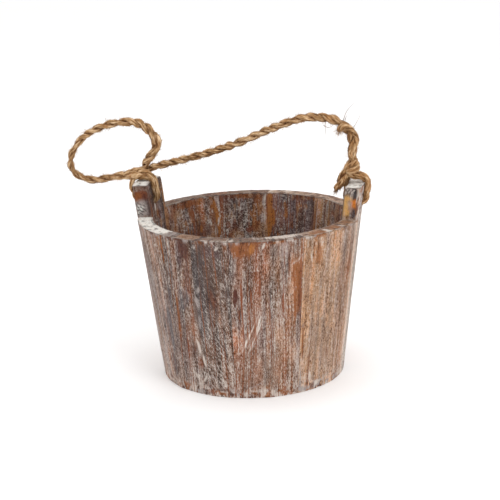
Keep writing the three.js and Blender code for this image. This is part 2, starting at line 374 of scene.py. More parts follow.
def jute_finish(name):
    """Jute: fine streaks along the fibres, painted shade in the hollows between the strands, and brown
    stains that are thicker towards the right ear."""
    dark_fibre = (0.120, 0.055, 0.019, 1)
    plain_fibre = (0.405, 0.235, 0.103, 1)
    pale_fibre = (0.70, 0.51, 0.32, 1)
    # The colour of the painted shade in the hollows between the strands
    painted_hollow_shade = (0.40, 0.25, 0.14, 1)
    stain_tint = (0.74, 0.58, 0.44, 1)
    finish, tree, shader = new_finish(name, roughness=0.85, specular=0.25)
    fibre = noted(tree, "fibre", "Vector")
    fine = noise_of(tree, fibre, (1, 1, 0.20), scale=1350, detail=4, rough=0.5)
    patches = noise_of(tree, fibre, (1, 1, 0.20), scale=700, detail=2, rough=0.5)
    streaks = reckon(tree, "MULTIPLY_ADD", patches, 0.55, reckon(tree, "MULTIPLY", fine, 0.45))
    colour = shades(tree, streaks, (0.40, dark_fibre), (0.50, plain_fibre), (0.60, pale_fibre))
    # Painted shade: the rope darkens towards the hollows between its strands, by its depth. The long loose
    # fibres are given a low depth, so the same tint darkens them.
    depth = step_between(tree, noted(tree, "depth"), 0.35, 0.85, way="LINEAR")
    hollow_shade = shades(tree, depth, (0, painted_hollow_shade), (1, (1, 1, 1, 1)))
    colour = layered(tree, colour, hollow_shade, 1, "MULTIPLY")
    parts = tree.nodes.new("ShaderNodeSeparateXYZ")
    tree.links.new(tree.nodes.new("ShaderNodeTexCoord").outputs["Object"], parts.inputs["Vector"])
    browner = step_between(tree, parts.outputs["X"], 0.02, 0.08, highest=0.09, way="LINEAR")
    blotches = noise_of(tree, fibre, (1, 1, 1), scale=240, detail=3, rough=0.5)
    blotches = reckon(tree, "ADD", blotches, browner)
    stained = step_between(tree, blotches, 0.46, 0.66, highest=0.8, way="LINEAR")
    colour = layered(tree, colour, stain_tint, stained, "MULTIPLY")
    colour_and_bump(tree, shader, colour, fine, strength=0.9, distance=0.0004)
    return finish


jute = jute_finish("jute_strands")


def twist_along(run, pitch, seed):
    """How far the lay has turned at each place, with the uneven pitch of a hand-made rope."""
    rate = 2 * math.pi / pitch * (1 + lay_looseness * slow_noise(run, lay_wave, seed))
    return np.concatenate([[0], np.cumsum(0.5 * (rate[1:] + rate[:-1]) * np.diff(run))])


def laid_strands(line, pitch, start_turn, seed, radii, strands=2):
    """The strands of a laid rope along a line. Its radii are given at shares of its length."""
    run = run_of(line)
    radius = np.interp(run / run[-1], *zip(*radii))
    turn = twist_along(run, pitch, seed) + start_turn
    tubes = []
    for strand in range(strands):
        phase = turn + strand * 2 * math.pi / strands
        spread = radius * strand_spread
        tubes.append(strand_surface(line, spread, phase, radius, 10 * seed + strand))
    return tubes


def dress_stretch(piece, body, node):
    """Gives a free stretch of rope its material and its body, and hides its node."""
    piece.data.materials.append(jute)
    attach(piece, body)
    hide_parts(node)


handle_radii = [(0, 0.0024), (0.1, 0.0023), (0.25, 0.0024), (0.4, 0.0021), (1, 0.0020)]
handle_line = smooth_line([(x, rope_line_y, z) for x, z in handle_route])
handle_tubes = laid_strands(handle_line, pitch=0.022, start_turn=0.4, seed=3, radii=handle_radii)
handle = mesh_of_tubes("handle_rope", handle_tubes)
dress_stretch(handle, "handle", "rope_handle")


# The spare loop. The rope's spare length stands out to the left of the left knot as one open
# loop, and its lay is more open than the handle's.
loop_route = [
    (-0.094, 0.190), (-0.0895, 0.196), (-0.085, 0.202), (-0.0835, 0.208), (-0.0855, 0.214),
    (-0.090, 0.2195), (-0.096, 0.224), (-0.103, 0.2266), (-0.111, 0.2268), (-0.1195, 0.226),
    (-0.129, 0.224), (-0.138, 0.2208), (-0.147, 0.2162), (-0.1545, 0.2104), (-0.1605, 0.2034),
    (-0.1646, 0.1956), (-0.1658, 0.1884), (-0.1638, 0.1818), (-0.158, 0.1768), (-0.150, 0.174),
    (-0.141, 0.1734), (-0.132, 0.175), (-0.123, 0.177), (-0.1147, 0.1779),
]
loop_line = smooth_line([(x, rope_line_y, z) for x, z in loop_route])
loop_radii = [
    (0, 0.0022), (0.08, 0.0027), (0.2, 0.0024), (0.5, 0.0019), (0.7, 0.0017), (0.85, 0.0020), (1, 0.0022),
]
loop_tubes = laid_strands(loop_line, pitch=0.025, start_turn=1.2, seed=5, radii=loop_radii)
loop = mesh_of_tubes("loop_rope", loop_tubes)
dress_stretch(loop, "loop", "rope_loop")


# The knots. On each ear the rope runs down the inner face, out through the bore and up over the
# top. At the right it then goes once round its own standing part, and its cut tail hangs inside.
# At the left it leads to the spare loop. A route is given as points along X, Y and Z.
right_knot_routes = {
    "down_and_through": [
        (0.0938, 0.0033, 0.1924), (0.0930, 0.0030, 0.1865), (0.0904, 0.0040, 0.1806),
        (0.0876, 0.0044, 0.1745), (0.0868, 0.0040, 0.1670), (0.0864, 0.0036, 0.1610),
        (0.0880, 0.0034, 0.1566), (0.0935, 0.0033, 0.1552), (0.1000, 0.0033, 0.1545),
    ],
    "up_and_round": [
        (0.0950, 0.0033, 0.1550), (0.1002, 0.0033, 0.1549), (0.1038, 0.0038, 0.1578),
        (0.1051, 0.0042, 0.1640), (0.1058, 0.0044, 0.1705), (0.1051, 0.0044, 0.1752),
        (0.1020, 0.0040, 0.1783), (0.0972, 0.0028, 0.1796), (0.0925, 0.0002, 0.1808),
        (0.0892, -0.0020, 0.1828), (0.0882, -0.0022, 0.1864), (0.0897, -0.0010, 0.1898),
        (0.0925, 0.0040, 0.1912), (0.0962, 0.0050, 0.1890), (0.0970, 0.0000, 0.1862),
        (0.0938, -0.0034, 0.1846), (0.0892, -0.0030, 0.1834),
    ],
    "tail": [
        (0.0915, -0.0010, 0.1846), (0.0880, -0.0022, 0.1832), (0.0856, -0.0030, 0.1800),
        (0.0834, -0.0034, 0.1758), (0.0814, -0.0036, 0.1718), (0.0798, -0.0036, 0.1684),
    ],
    "second_tail": [
        (0.0905, 0.0024, 0.1830), (0.0868, 0.0010, 0.1808), (0.0846, -0.0002, 0.1772),
        (0.0836, -0.0006, 0.1735), (0.0820, -0.0010, 0.1700),
    ],
}
left_knot_routes = {
    "over_and_down": [
        (-0.1235, 0.0033, 0.1769), (-0.1165, 0.0033, 0.1777), (-0.1110, 0.0032, 0.1785),
        (-0.1060, 0.0028, 0.1790), (-0.1010, 0.0024, 0.1793), (-0.0960, 0.0020, 0.1794),
        (-0.0912, 0.0014, 0.1780), (-0.0880, 0.0012, 0.1740), (-0.0864, 0.0014, 0.1690),
        (-0.0856, 0.0018, 0.1640), (-0.0856, 0.0026, 0.1588), (-0.0880, 0.0033, 0.1555),
        (-0.0960, 0.0033, 0.1550),
    ],
    "up_to_the_loop": [
        (-0.0960, 0.0033, 0.1550), (-0.1012, 0.0030, 0.1552), (-0.1046, 0.0020, 0.1582),
        (-0.1062, 0.0004, 0.1640), (-0.1071, -0.0004, 0.1700), (-0.1066, 0.0030, 0.1758),
        (-0.1024, 0.0072, 0.1800), (-0.0982, 0.0066, 0.1838), (-0.0952, 0.0046, 0.1875),
        (-0.0934, 0.0034, 0.1915),
    ],
    "handle_end": [
        (-0.0850, 0.0036, 0.1865), (-0.0890, 0.0050, 0.1850), (-0.0932, 0.0072, 0.1826),
        (-0.0980, 0.0086, 0.1800), (-0.1030, 0.0088, 0.1782), (-0.1066, 0.0080, 0.1770),
    ],
}


def knot_of(name, routes, pitches, radii, strands, seed):
    """A tied knot: each of its stretches is a few strands that keep to its own route."""
    tubes = []
    for number, (stretch, route) in enumerate(routes.items()):
        line = smooth_line(route)
        pitch, count = pitches[stretch], strands[stretch]
        tubes += laid_strands(line, pitch, number, seed + number, radii[stretch], count)
    return mesh_of_tubes(name, tubes), tubes


right_knot, right_knot_tubes = knot_of(
    "knot_right",
    right_knot_routes,
    pitches={"down_and_through": 0.024, "up_and_round": 0.034, "tail": 0.03, "second_tail": 0.03},
    radii={
        "down_and_through": [(0, 0.0025), (0.15, 0.0026), (0.3, 0.0016), (0.4, 0.0012), (1, 0.0014)],
        "up_and_round": [(0, 0.0014), (0.15, 0.0016), (0.3, 0.0019), (0.42, 0.0023), (0.52, 0.0023),
                         (0.62, 0.0015), (1, 0.0017)],
        "tail": [(0, 0.0019), (0.5, 0.0024), (0.9, 0.0025), (1, 0.0020)],
        "second_tail": [(0, 0.0015), (0.8, 0.0016), (1, 0.0012)],
    },
    strands={"down_and_through": 3, "up_and_round": 3, "tail": 2, "second_tail": 2},
    seed=31,
)
left_knot, left_knot_tubes = knot_of(
    "knot_left",
    left_knot_routes,
    pitches={"over_and_down": 0.060, "up_to_the_loop": 0.026, "handle_end": 0.024},
    radii={
        "over_and_down": [(0, 0.0008), (0.1, 0.0018), (0.18, 0.0026), (0.28, 0.0034), (0.40, 0.0034),
                          (0.5, 0.0024), (0.6, 0.0021), (0.82, 0.0019), (1, 0.0013)],
        "up_to_the_loop": [(0, 0.0013), (0.3, 0.0019), (0.6, 0.0019), (1, 0.0021)],
        "handle_end": [(0, 0.0020), (1, 0.0016)],
    },
    strands={"over_and_down": 3, "up_to_the_loop": 2, "handle_end": 2},
    seed=41,
)
for knot, node in ((right_knot, "rope_knot_right"), (left_knot, "rope_knot_left")):
    knot.data.materials.append(jute)
    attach(knot, "root")
    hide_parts(node)


# The tied strand. A third strand leaves the right knot, winds up the handle's steep part and ends
# in a frayed lump under the bend.
tied_route = [
    (0.0944, 0.0030, 0.1906), (0.0926, 0.0004, 0.1946), (0.0916, -0.0008, 0.1992),
    (0.0942, -0.0006, 0.2040), (0.0970, 0.0010, 0.2090), (0.0966, 0.0014, 0.2140),
    (0.0940, 0.0002, 0.2190), (0.0902, -0.0006, 0.2222), (0.0862, 0.0000, 0.2230),
    (0.0832, 0.0008, 0.2214), (0.0812, 0.0014, 0.2190),
]
tied_radii = [(0, 0.0014), (0.12, 0.0021), (0.66, 0.0020), (0.85, 0.0032), (0.95, 0.0034), (1, 0.0020)]
tied_line = smooth_line(tied_route)
tied_share = np.linspace(0, 1, len(tied_line))
tied_radius = np.interp(tied_share, *zip(*tied_radii))
tied_tube = strand_surface(tied_line, 0, np.zeros(len(tied_line)), tied_radius, seed=77)
tied_strand = mesh_of_tubes("tied_strand", [tied_tube])
tied_strand.data.materials.append(jute)
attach(tied_strand, "handle")


# The loose fibres. Jute is hairy: short ends stand off every strand all along the rope, its cut
# ends are frayed, and near the right knot a few long fibres have worked loose.
fibre_radius = 0.00009
long_fibre_radius = 0.00014
loose_fibre_radius = 0.00032
loose_fibre_depth = 0.38
fibre_steps = 6
fibre_sides = 3
deepest_fuzz = 0.7
shortest_fibre = 0.0014
fibre_length_range = 0.0042
loose_routes = (
    [(0.0850, 0.0033, 0.2270), (0.0886, 0.0020, 0.2361), (0.0948, 0.0033, 0.2430)],
    [(0.0890, 0.0010, 0.2195), (0.0942, 0.0005, 0.2221), (0.0981, 0.0010, 0.2282), (0.1005, 0.0020, 0.2335)],
    [(0.0700, 0.0010, 0.2285), (0.0698, 0.0000, 0.2230), (0.0700, -0.0005, 0.2186), (0.0707, 0.0000, 0.2142)],
    [(0.0683, 0.0005, 0.2240), (0.0727, -0.0005, 0.2222), (0.0771, 0.0000, 0.2245)],
    [(0.0868, 0.0033, 0.2280), (0.0880, 0.0020, 0.2312), (0.0892, 0.0010, 0.2330)],
)


def fibre_along(line, radius, depth=1):
    """A fibre of three sides along a line, thinning to its tip. Its colour goes by its depth."""
    side, up = frames_along(line)
    angle = np.linspace(0, 2 * math.pi, fibre_sides, endpoint=False)
    around = np.cos(angle)[:, None] * side[:, None, :] + np.sin(angle)[:, None] * up[:, None, :]
    reach = radius * np.linspace(1, 0.25, len(line))
    rings = line[:, None, :] + reach[:, None, None] * around
    return rings, rings, np.full(rings.shape[:2], depth)


def bent_fibre(start, heading, bend, length, radius):
    """A fibre that leaves its start along a heading and bends steadily."""
    share = np.linspace(0, 1, fibre_steps)[:, None]
    return fibre_along(start + length * (share * heading + share**2 * bend), radius)


def fuzz_on(tubes, count, seed):
    """Short fibres that stand off the outer surface of strands, most of them near the least length."""
    random = np.random.default_rng(seed)
    rings_of = np.array([len(rings) for rings, _, _ in tubes])
    fibres = []
    while len(fibres) < count:
        rings, _, depth = tubes[random.choice(len(tubes), p=rings_of / rings_of.sum())]
        ring = random.integers(2, len(rings) - 2)
        corner = random.integers(rings.shape[1])
        if depth[ring, corner] < deepest_fuzz:
            continue
        outward = rings[ring, corner] - rings[ring].mean(axis=0)
        outward /= np.linalg.norm(outward)
        along = (rings[ring + 1] - rings[ring - 1]).mean(axis=0)
        along *= random.choice((-1, 1)) / np.linalg.norm(along)
        heading = random.uniform(0.3, 1) * along + random.uniform(0.15, 0.8) * outward
        heading += random.normal(0, 0.2, 3)
        length = shortest_fibre + fibre_length_range * random.random() ** 2.2
        bend = random.normal(0, 0.3, 3)
        fibres.append(bent_fibre(rings[ring, corner], heading, bend, length, fibre_radius))
    return fibres


def frayed_end(place, heading, spread, count, longest, seed):
    """The fibres of a cut end, spread like a brush."""
    random = np.random.default_rng(seed)
    heading = np.array(heading) / np.linalg.norm(heading)
    fibres = []
    for _ in range(count):
        start = np.array(place) + random.normal(0, 0.0006, 3)
        away = heading + random.normal(0, spread, 3)
        length = longest * random.uniform(0.4, 1)
        fibres.append(bent_fibre(start, away, random.normal(0, 0.25, 3), length, long_fibre_radius))
    return fibres


handle_fuzz = fuzz_on([*handle_tubes, tied_tube], count=2600, seed=61)
handle_fuzz += frayed_end(
    tied_route[-2], heading=(-0.3, 0.1, -0.8), spread=0.6, count=200, longest=0.0048, seed=62
)
for route in loose_routes:
    loose_line = smooth_line(route, spacing=0.0012)
    handle_fuzz.append(fibre_along(loose_line, loose_fibre_radius, loose_fibre_depth))
knot_fuzz = fuzz_on([*right_knot_tubes, *left_knot_tubes], count=2000, seed=63)
knot_fuzz += frayed_end(
    right_knot_routes["tail"][-1], heading=(-0.55, 0, -1), spread=0.28, count=120, longest=0.0048, seed=64
)
knot_fuzz += frayed_end(
    right_knot_routes["second_tail"][-1], heading=(-0.3, 0, -1), spread=0.3, count=60, longest=0.0036, seed=65
)
loop_fuzz = fuzz_on(loop_tubes, count=2200, seed=66)
for name, tubes, body in (
    ("handle_fibres", handle_fuzz, "handle"),
    ("loop_fibres", loop_fuzz, "loop"),
    ("knot_fibres", knot_fuzz, "root"),
):
    fibres = mesh_of_tubes(name, tubes)
    fibres.data.materials.append(jute)
    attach(fibres, body)


# The staves. The real ones are ten tapered boards of rough fir, edge to edge with hidden pins and
# no hoops. They were brushed along the grain, stained brown and then rubbed with a thin white
# wash, which stays in the pores, on the end grain and along the worn edges.
rim_radius = 0.100
foot_radius = 0.0825
body_height = 0.1445
wall_thickness = 0.0135
ear_rise = 0.029
chime_height = 0.010
croze_height = 0.0096
croze_depth = 0.004
joint_gap = 0.00006
bore_rise = 0.011
bore_radius = 0.0045
ear_share = 0.075
back_shares = (0.111, 0.094, 0.096, 0.113)
front_shares = (0.114, 0.104, 0.106, 0.112)
row_spacing = 0.0013
column_spacing = 0.00062
layer_spacing = 0.0015
edge_spacing = 0.0006
edge_rows = 4
layered_depth = 0.0025
bore_sides = 40
crease_angle = math.radians(42)
on_face = 2e-5
on_level = 1e-5
millimetre = 0.001
flare = (rim_radius - foot_radius) / body_height


def wall_radius(height):
    """The radius of the bucket's outer face at a height."""
    return foot_radius + flare * height


def cut_places(length, spacing, extra=()):
    """Where a board is parted into even steps, with finer ones at both ends."""
    even = np.arange(spacing, length - spacing / 2, spacing)
    fine = edge_spacing * np.arange(1, edge_rows + 1)
    places = np.concatenate([even, fine, length - fine, extra])
    return np.unique(np.round(places, 6))


def select_faces(piece, wanted):
    """Selects a piece's faces by place: those whose centre the given test accepts."""
    bpy.ops.object.mode_set(mode="EDIT")
    bpy.ops.mesh.select_all(action="DESELECT")
    bpy.ops.object.mode_set(mode="OBJECT")
    for face in piece.data.polygons:
        face.select = wanted(face.center)
    bpy.ops.object.mode_set(mode="EDIT")


def inward_of(place):
    """How far inside the bucket's outer face a place at +X is."""
    return wall_radius(place.z) - place.x


def stave_section(top):
    """The upright section of a stave at +X, parted into rows and, in its upper part and at its
    foot, into layers as well, with the croze cut out of its inner side."""
    layers_from = body_height - layered_depth
    bpy.ops.object.select_all(action="DESELECT")
    bpy.ops.mesh.primitive_plane_add(size=1)
    section = bpy.context.object
    for corner in section.data.vertices:
        height = top if corner.co.y > 0 else 0
        inward = wall_thickness if corner.co.x < 0 else 0
        corner.co = (wall_radius(height) - inward, 0, height)
    bpy.ops.object.mode_set(mode="EDIT")
    croze_top = chime_height + croze_height
    for height in cut_places(top, row_spacing, (chime_height, croze_top)):
        bpy.ops.mesh.select_all(action="SELECT")
        bpy.ops.mesh.bisect(plane_co=(0, 0, height), plane_no=(0, 0, 1))
    for inward in cut_places(wall_thickness, layer_spacing):
        select_faces(section, lambda place: place.z > layers_from or place.z < edge_spacing)
        bpy.ops.mesh.bisect(plane_co=(foot_radius - inward, 0, 0), plane_no=(1, 0, -flare))
    select_faces(section, lambda place: chime_height < place.z < croze_top)
    croze_side = foot_radius - wall_thickness + croze_depth
    bpy.ops.mesh.bisect(plane_co=(croze_side, 0, 0), plane_no=(1, 0, -flare))
    select_faces(section, lambda place: (
        chime_height < place.z < croze_top and inward_of(place) > wall_thickness - croze_depth
    ))
    bpy.ops.mesh.delete(type="FACE")
    bpy.ops.object.mode_set(mode="OBJECT")
    return section


def stave_blank(section, name, start_angle, angle):
    """A copy of a section, spun round the bucket's middle from one joint to the next."""
    stave = section.copy()
    stave.data = section.data.copy()
    stave.name = name
    stave.data.name = name
    bpy.context.scene.collection.objects.link(stave)
    bpy.ops.object.select_all(action="DESELECT")
    bpy.context.view_layer.objects.active = stave
    stave.select_set(True)
    shrink = joint_gap / rim_radius
    bpy.ops.object.mode_set(mode="EDIT")
    bpy.ops.mesh.select_all(action="SELECT")
    bpy.ops.mesh.spin(
        steps=round(angle * rim_radius / column_spacing),
        angle=shrink - angle,
        center=(0, 0, 0),
        axis=(0, 0, 1),
    )
    bpy.ops.mesh.select_all(action="SELECT")
    bpy.ops.mesh.normals_make_consistent(inside=False)
    bpy.ops.object.mode_set(mode="OBJECT")
    stave.data.transform(Matrix.Rotation(start_angle + shrink / 2, 4, "Z"))
    return stave


# The soft noises on a board. Each has the size of its cells across and along the board, and what
# it adds to the board's seed.
board_noises = {
    "grain_lines": (0.0013, 0.022, 0), "wide_lines": (0.004, 0.05, 1), "waves": (0.014, 0.03, 2),
    "wear": (0.0035, 0.004, 3), "broad_wear": (0.012, 0.02, 4), "sawn": (0.003, 0.003, 5),
    "sawn_waves": (0.02, 0.02, 6), "drift": (0.02, 0.03, 7), "streaks": (0.0034, 0.09, 8),
    "clouds": (0.008, 0.020, 9), "fine_warmth": (0.0024, 0.07, 10), "ragged": (0.0011, 0.0090, 11),
    "torn": (0.003, 0.008, 12), "bend": (0.03, 0.05, 13), "wander": (0.02, 0.02, 14),
    "warmth": (0.0070, 0.025, 15), "blotches": (0.006, 0.004, 16), "chips": (0.0040, 0.0020, 17),
    "scraps": (0.0048, 0.0034, 20), "patches": (0.0065, 0.0095, 30),
}
noise_cells = 96
first_seed = 20
seed_step = 11


def over(value, start, end):
    """0 below start and 1 above end, with a smooth step between them."""
    share = np.clip((value - start) / (end - start), 0, 1)
    return share * share * (3 - 2 * share)


def near(distance, far, close):
    """1 closer than close and 0 further than far, with a smooth step between them."""
    return over(-distance, -far, -close)


def soft_noise(name, board, along=None, step=0, shift=0):
    """Smooth random values between -1 and 1 at each place of a board, one for each cell. They run
    along its height, or along another measure that is given."""
    cell_across, cell_along, number = board_noises[name]
    random = np.random.default_rng(board.seed + number + step)
    values = random.uniform(-1, 1, (noise_cells, noise_cells))
    across = board.across / cell_across + shift
    along = (board.height if along is None else along) / cell_along
    column, row = np.floor(across).astype(int), np.floor(along).astype(int)
    x, y = over(across - column, 0, 1), over(along - row, 0, 1)
    left, right = column % noise_cells, (column + 1) % noise_cells
    low, high = row % noise_cells, (row + 1) % noise_cells
    lower = values[left, low] * (1 - x) + values[right, low] * x
    upper = values[left, high] * (1 - x) + values[right, high] * x
    return lower * (1 - y) + upper * y


# The finish's colours by name, and how smoothly some of them lie: at 1 no grain shows in them
finish_colours = {
    "grey_pink": (0.322, 0.255, 0.234),
    "grey_brown": (0.282, 0.172, 0.128),
    "dark_grey_brown": (0.112, 0.080, 0.072),
    "umber": (0.187, 0.104, 0.070),
    "red_brown": (0.270, 0.131, 0.083),
    "rose_brown": (0.303, 0.165, 0.101),
    "tan": (0.530, 0.268, 0.134),
    "pale_tan": (0.580, 0.330, 0.180),
    "brown": (0.283, 0.145, 0.092),
    "black_brown": (0.170, 0.083, 0.058),
    "charcoal": (0.080, 0.068, 0.070),
    "slate": (0.170, 0.165, 0.180),
    "dark_red": (0.110, 0.032, 0.020),
    "rust_red": (0.270, 0.076, 0.030),
    "rust": (0.340, 0.108, 0.026),
    "orange": (0.500, 0.185, 0.042),
    "rose": (0.500, 0.320, 0.250),
    "mauve": (0.120, 0.080, 0.082),
    "plum": (0.130, 0.072, 0.078),
    "tan_grey": (0.350, 0.250, 0.190),
    "pale_grey": (0.520, 0.450, 0.425),
    "cream": (0.720, 0.635, 0.570),
    "sand": (0.530, 0.315, 0.185),
    "pale_sand": (0.700, 0.500, 0.375),
    "honey": (0.860, 0.480, 0.160),
    "amber": (0.800, 0.240, 0.026),
    "white": (0.860, 0.845, 0.790),
}
smooth_finishes = {
    "rust": 0.35, "orange": 0.4, "dark_red": 0.35, "rust_red": 0.3, "cream": 0.6,
    "rose": 0.4, "pale_grey": 0.3, "slate": 0.2, "plum": 0.2, "charcoal": 0.3, "white": 0.75,
    "honey": 0.5, "amber": 0.5, "pale_sand": 0.3,
}
warm_tint = (0.16, -0.16, -0.50)
grey_tint = (1.20, 0.94, 0.91)
red_streak = (0.330, 0.105, 0.040, 1)
pore_tint = (0.25, 0.17, 0.13, 1)
# Partly white wash and partly a painted highlight: the pale colour on the tops of the raised grain
white_wash_and_highlight = (0.860, 0.770, 0.700, 1)

# What each stave shows outside and inside, as finishes at places round the turn in degrees from
# +X. Its washes say how much white sits in its grain and how many red streaks run along it, and
# its variety how much the stain changes.
usual_inside_wash = (0.4, 0.2)
looks = {
    "ear_stave_right": {
        "outside": ((-11, "pale_sand"), (-5, "grey_pink"), (2, "rose_brown"), (15, "grey_pink")),
        "outside_wash": (1.1, -0.6),
        "inside": ((-11, "umber"), (15, "grey_brown")),
        "variety": 0.5,
    },
    "stave_back_1": {
        "outside": ((15, "tan"), (30, "rose_brown"), (55, "red_brown")),
        "outside_wash": (0.5, 0.5),
        "inside": ((15, "brown"), (34, "rose_brown"), (44, "tan_grey"), (55, "tan")),
    },
    "stave_back_2": {
        "outside": ((55, "grey_brown"), (72, "umber"), (89, "dark_grey_brown")),
        "outside_wash": (0.45, 0.5),
        "inside": ((55, "black_brown"), (62, "mauve"), (80, "mauve"), (89, "black_brown")),
        "inside_wash": (0.0, 0.1),
    },
    "stave_back_3": {
        "outside": ((89, "red_brown"), (106, "tan"), (123, "rose_brown")),
        "outside_wash": (0.45, 0.7),
        "inside": ((89, "red_brown"), (96, "umber"), (101, "dark_grey_brown"),
                   (114, "dark_grey_brown"), (123, "brown")),
        "inside_wash": (0.75, 0.1),
    },
    "stave_back_4": {
        "outside": ((123, "dark_grey_brown"), (140, "umber"), (164, "grey_brown")),
        "outside_wash": (0.5, 0.4),
        "inside": ((123, "rose_brown"), (132, "brown"), (142, "dark_grey_brown"),
                   (152, "rose_brown"), (164, "rose_brown")),
        "inside_wash": (0.4, 0.1),
    },
    "ear_stave_left": {
        "outside": ((164, "rose_brown"), (178, "grey_brown"), (191, "grey_pink")),
        "outside_wash": (0.5, 0.3),
        "inside": ((164, "umber"), (172, "mauve"), (184, "umber"), (191, "mauve")),
        "inside_wash": (0.3, 0.1),
    },
    "stave_front_1": {
        "outside": ((191, "grey_pink"), (215, "grey_pink"), (224, "grey_brown"), (232, "umber")),
        "outside_wash": (0.6, 0.2),
        "inside": ((191, "umber"), (232, "brown")),
    },
    "stave_front_2": {
        "outside": ((232, "umber"), (240, "grey_brown"), (246, "umber"), (251, "dark_grey_brown"),
                    (262, "umber"), (270, "umber")),
        "outside_wash": (0.66, 0.35),
        "inside": ((232, "umber"), (270, "black_brown")),
    },
    "stave_front_3": {
        "outside": ((270, "red_brown"), (286, "red_brown"), (291, "rose_brown"), (308, "rose_brown")),
        "outside_wash": (0.5, 0.45),
        "inside": ((270, "brown"), (308, "umber")),
    },
    "stave_front_4": {
        "outside": ((308, "pale_tan"), (316, "sand"), (324, "pale_tan"), (333, "sand"),
                    (342, "rose_brown"), (348, "sand")),
        "outside_wash": (0.30, 0.0),
        "inside": ((308, "brown"), (348, "grey_brown")),
        "variety": 0.55,
    },
}

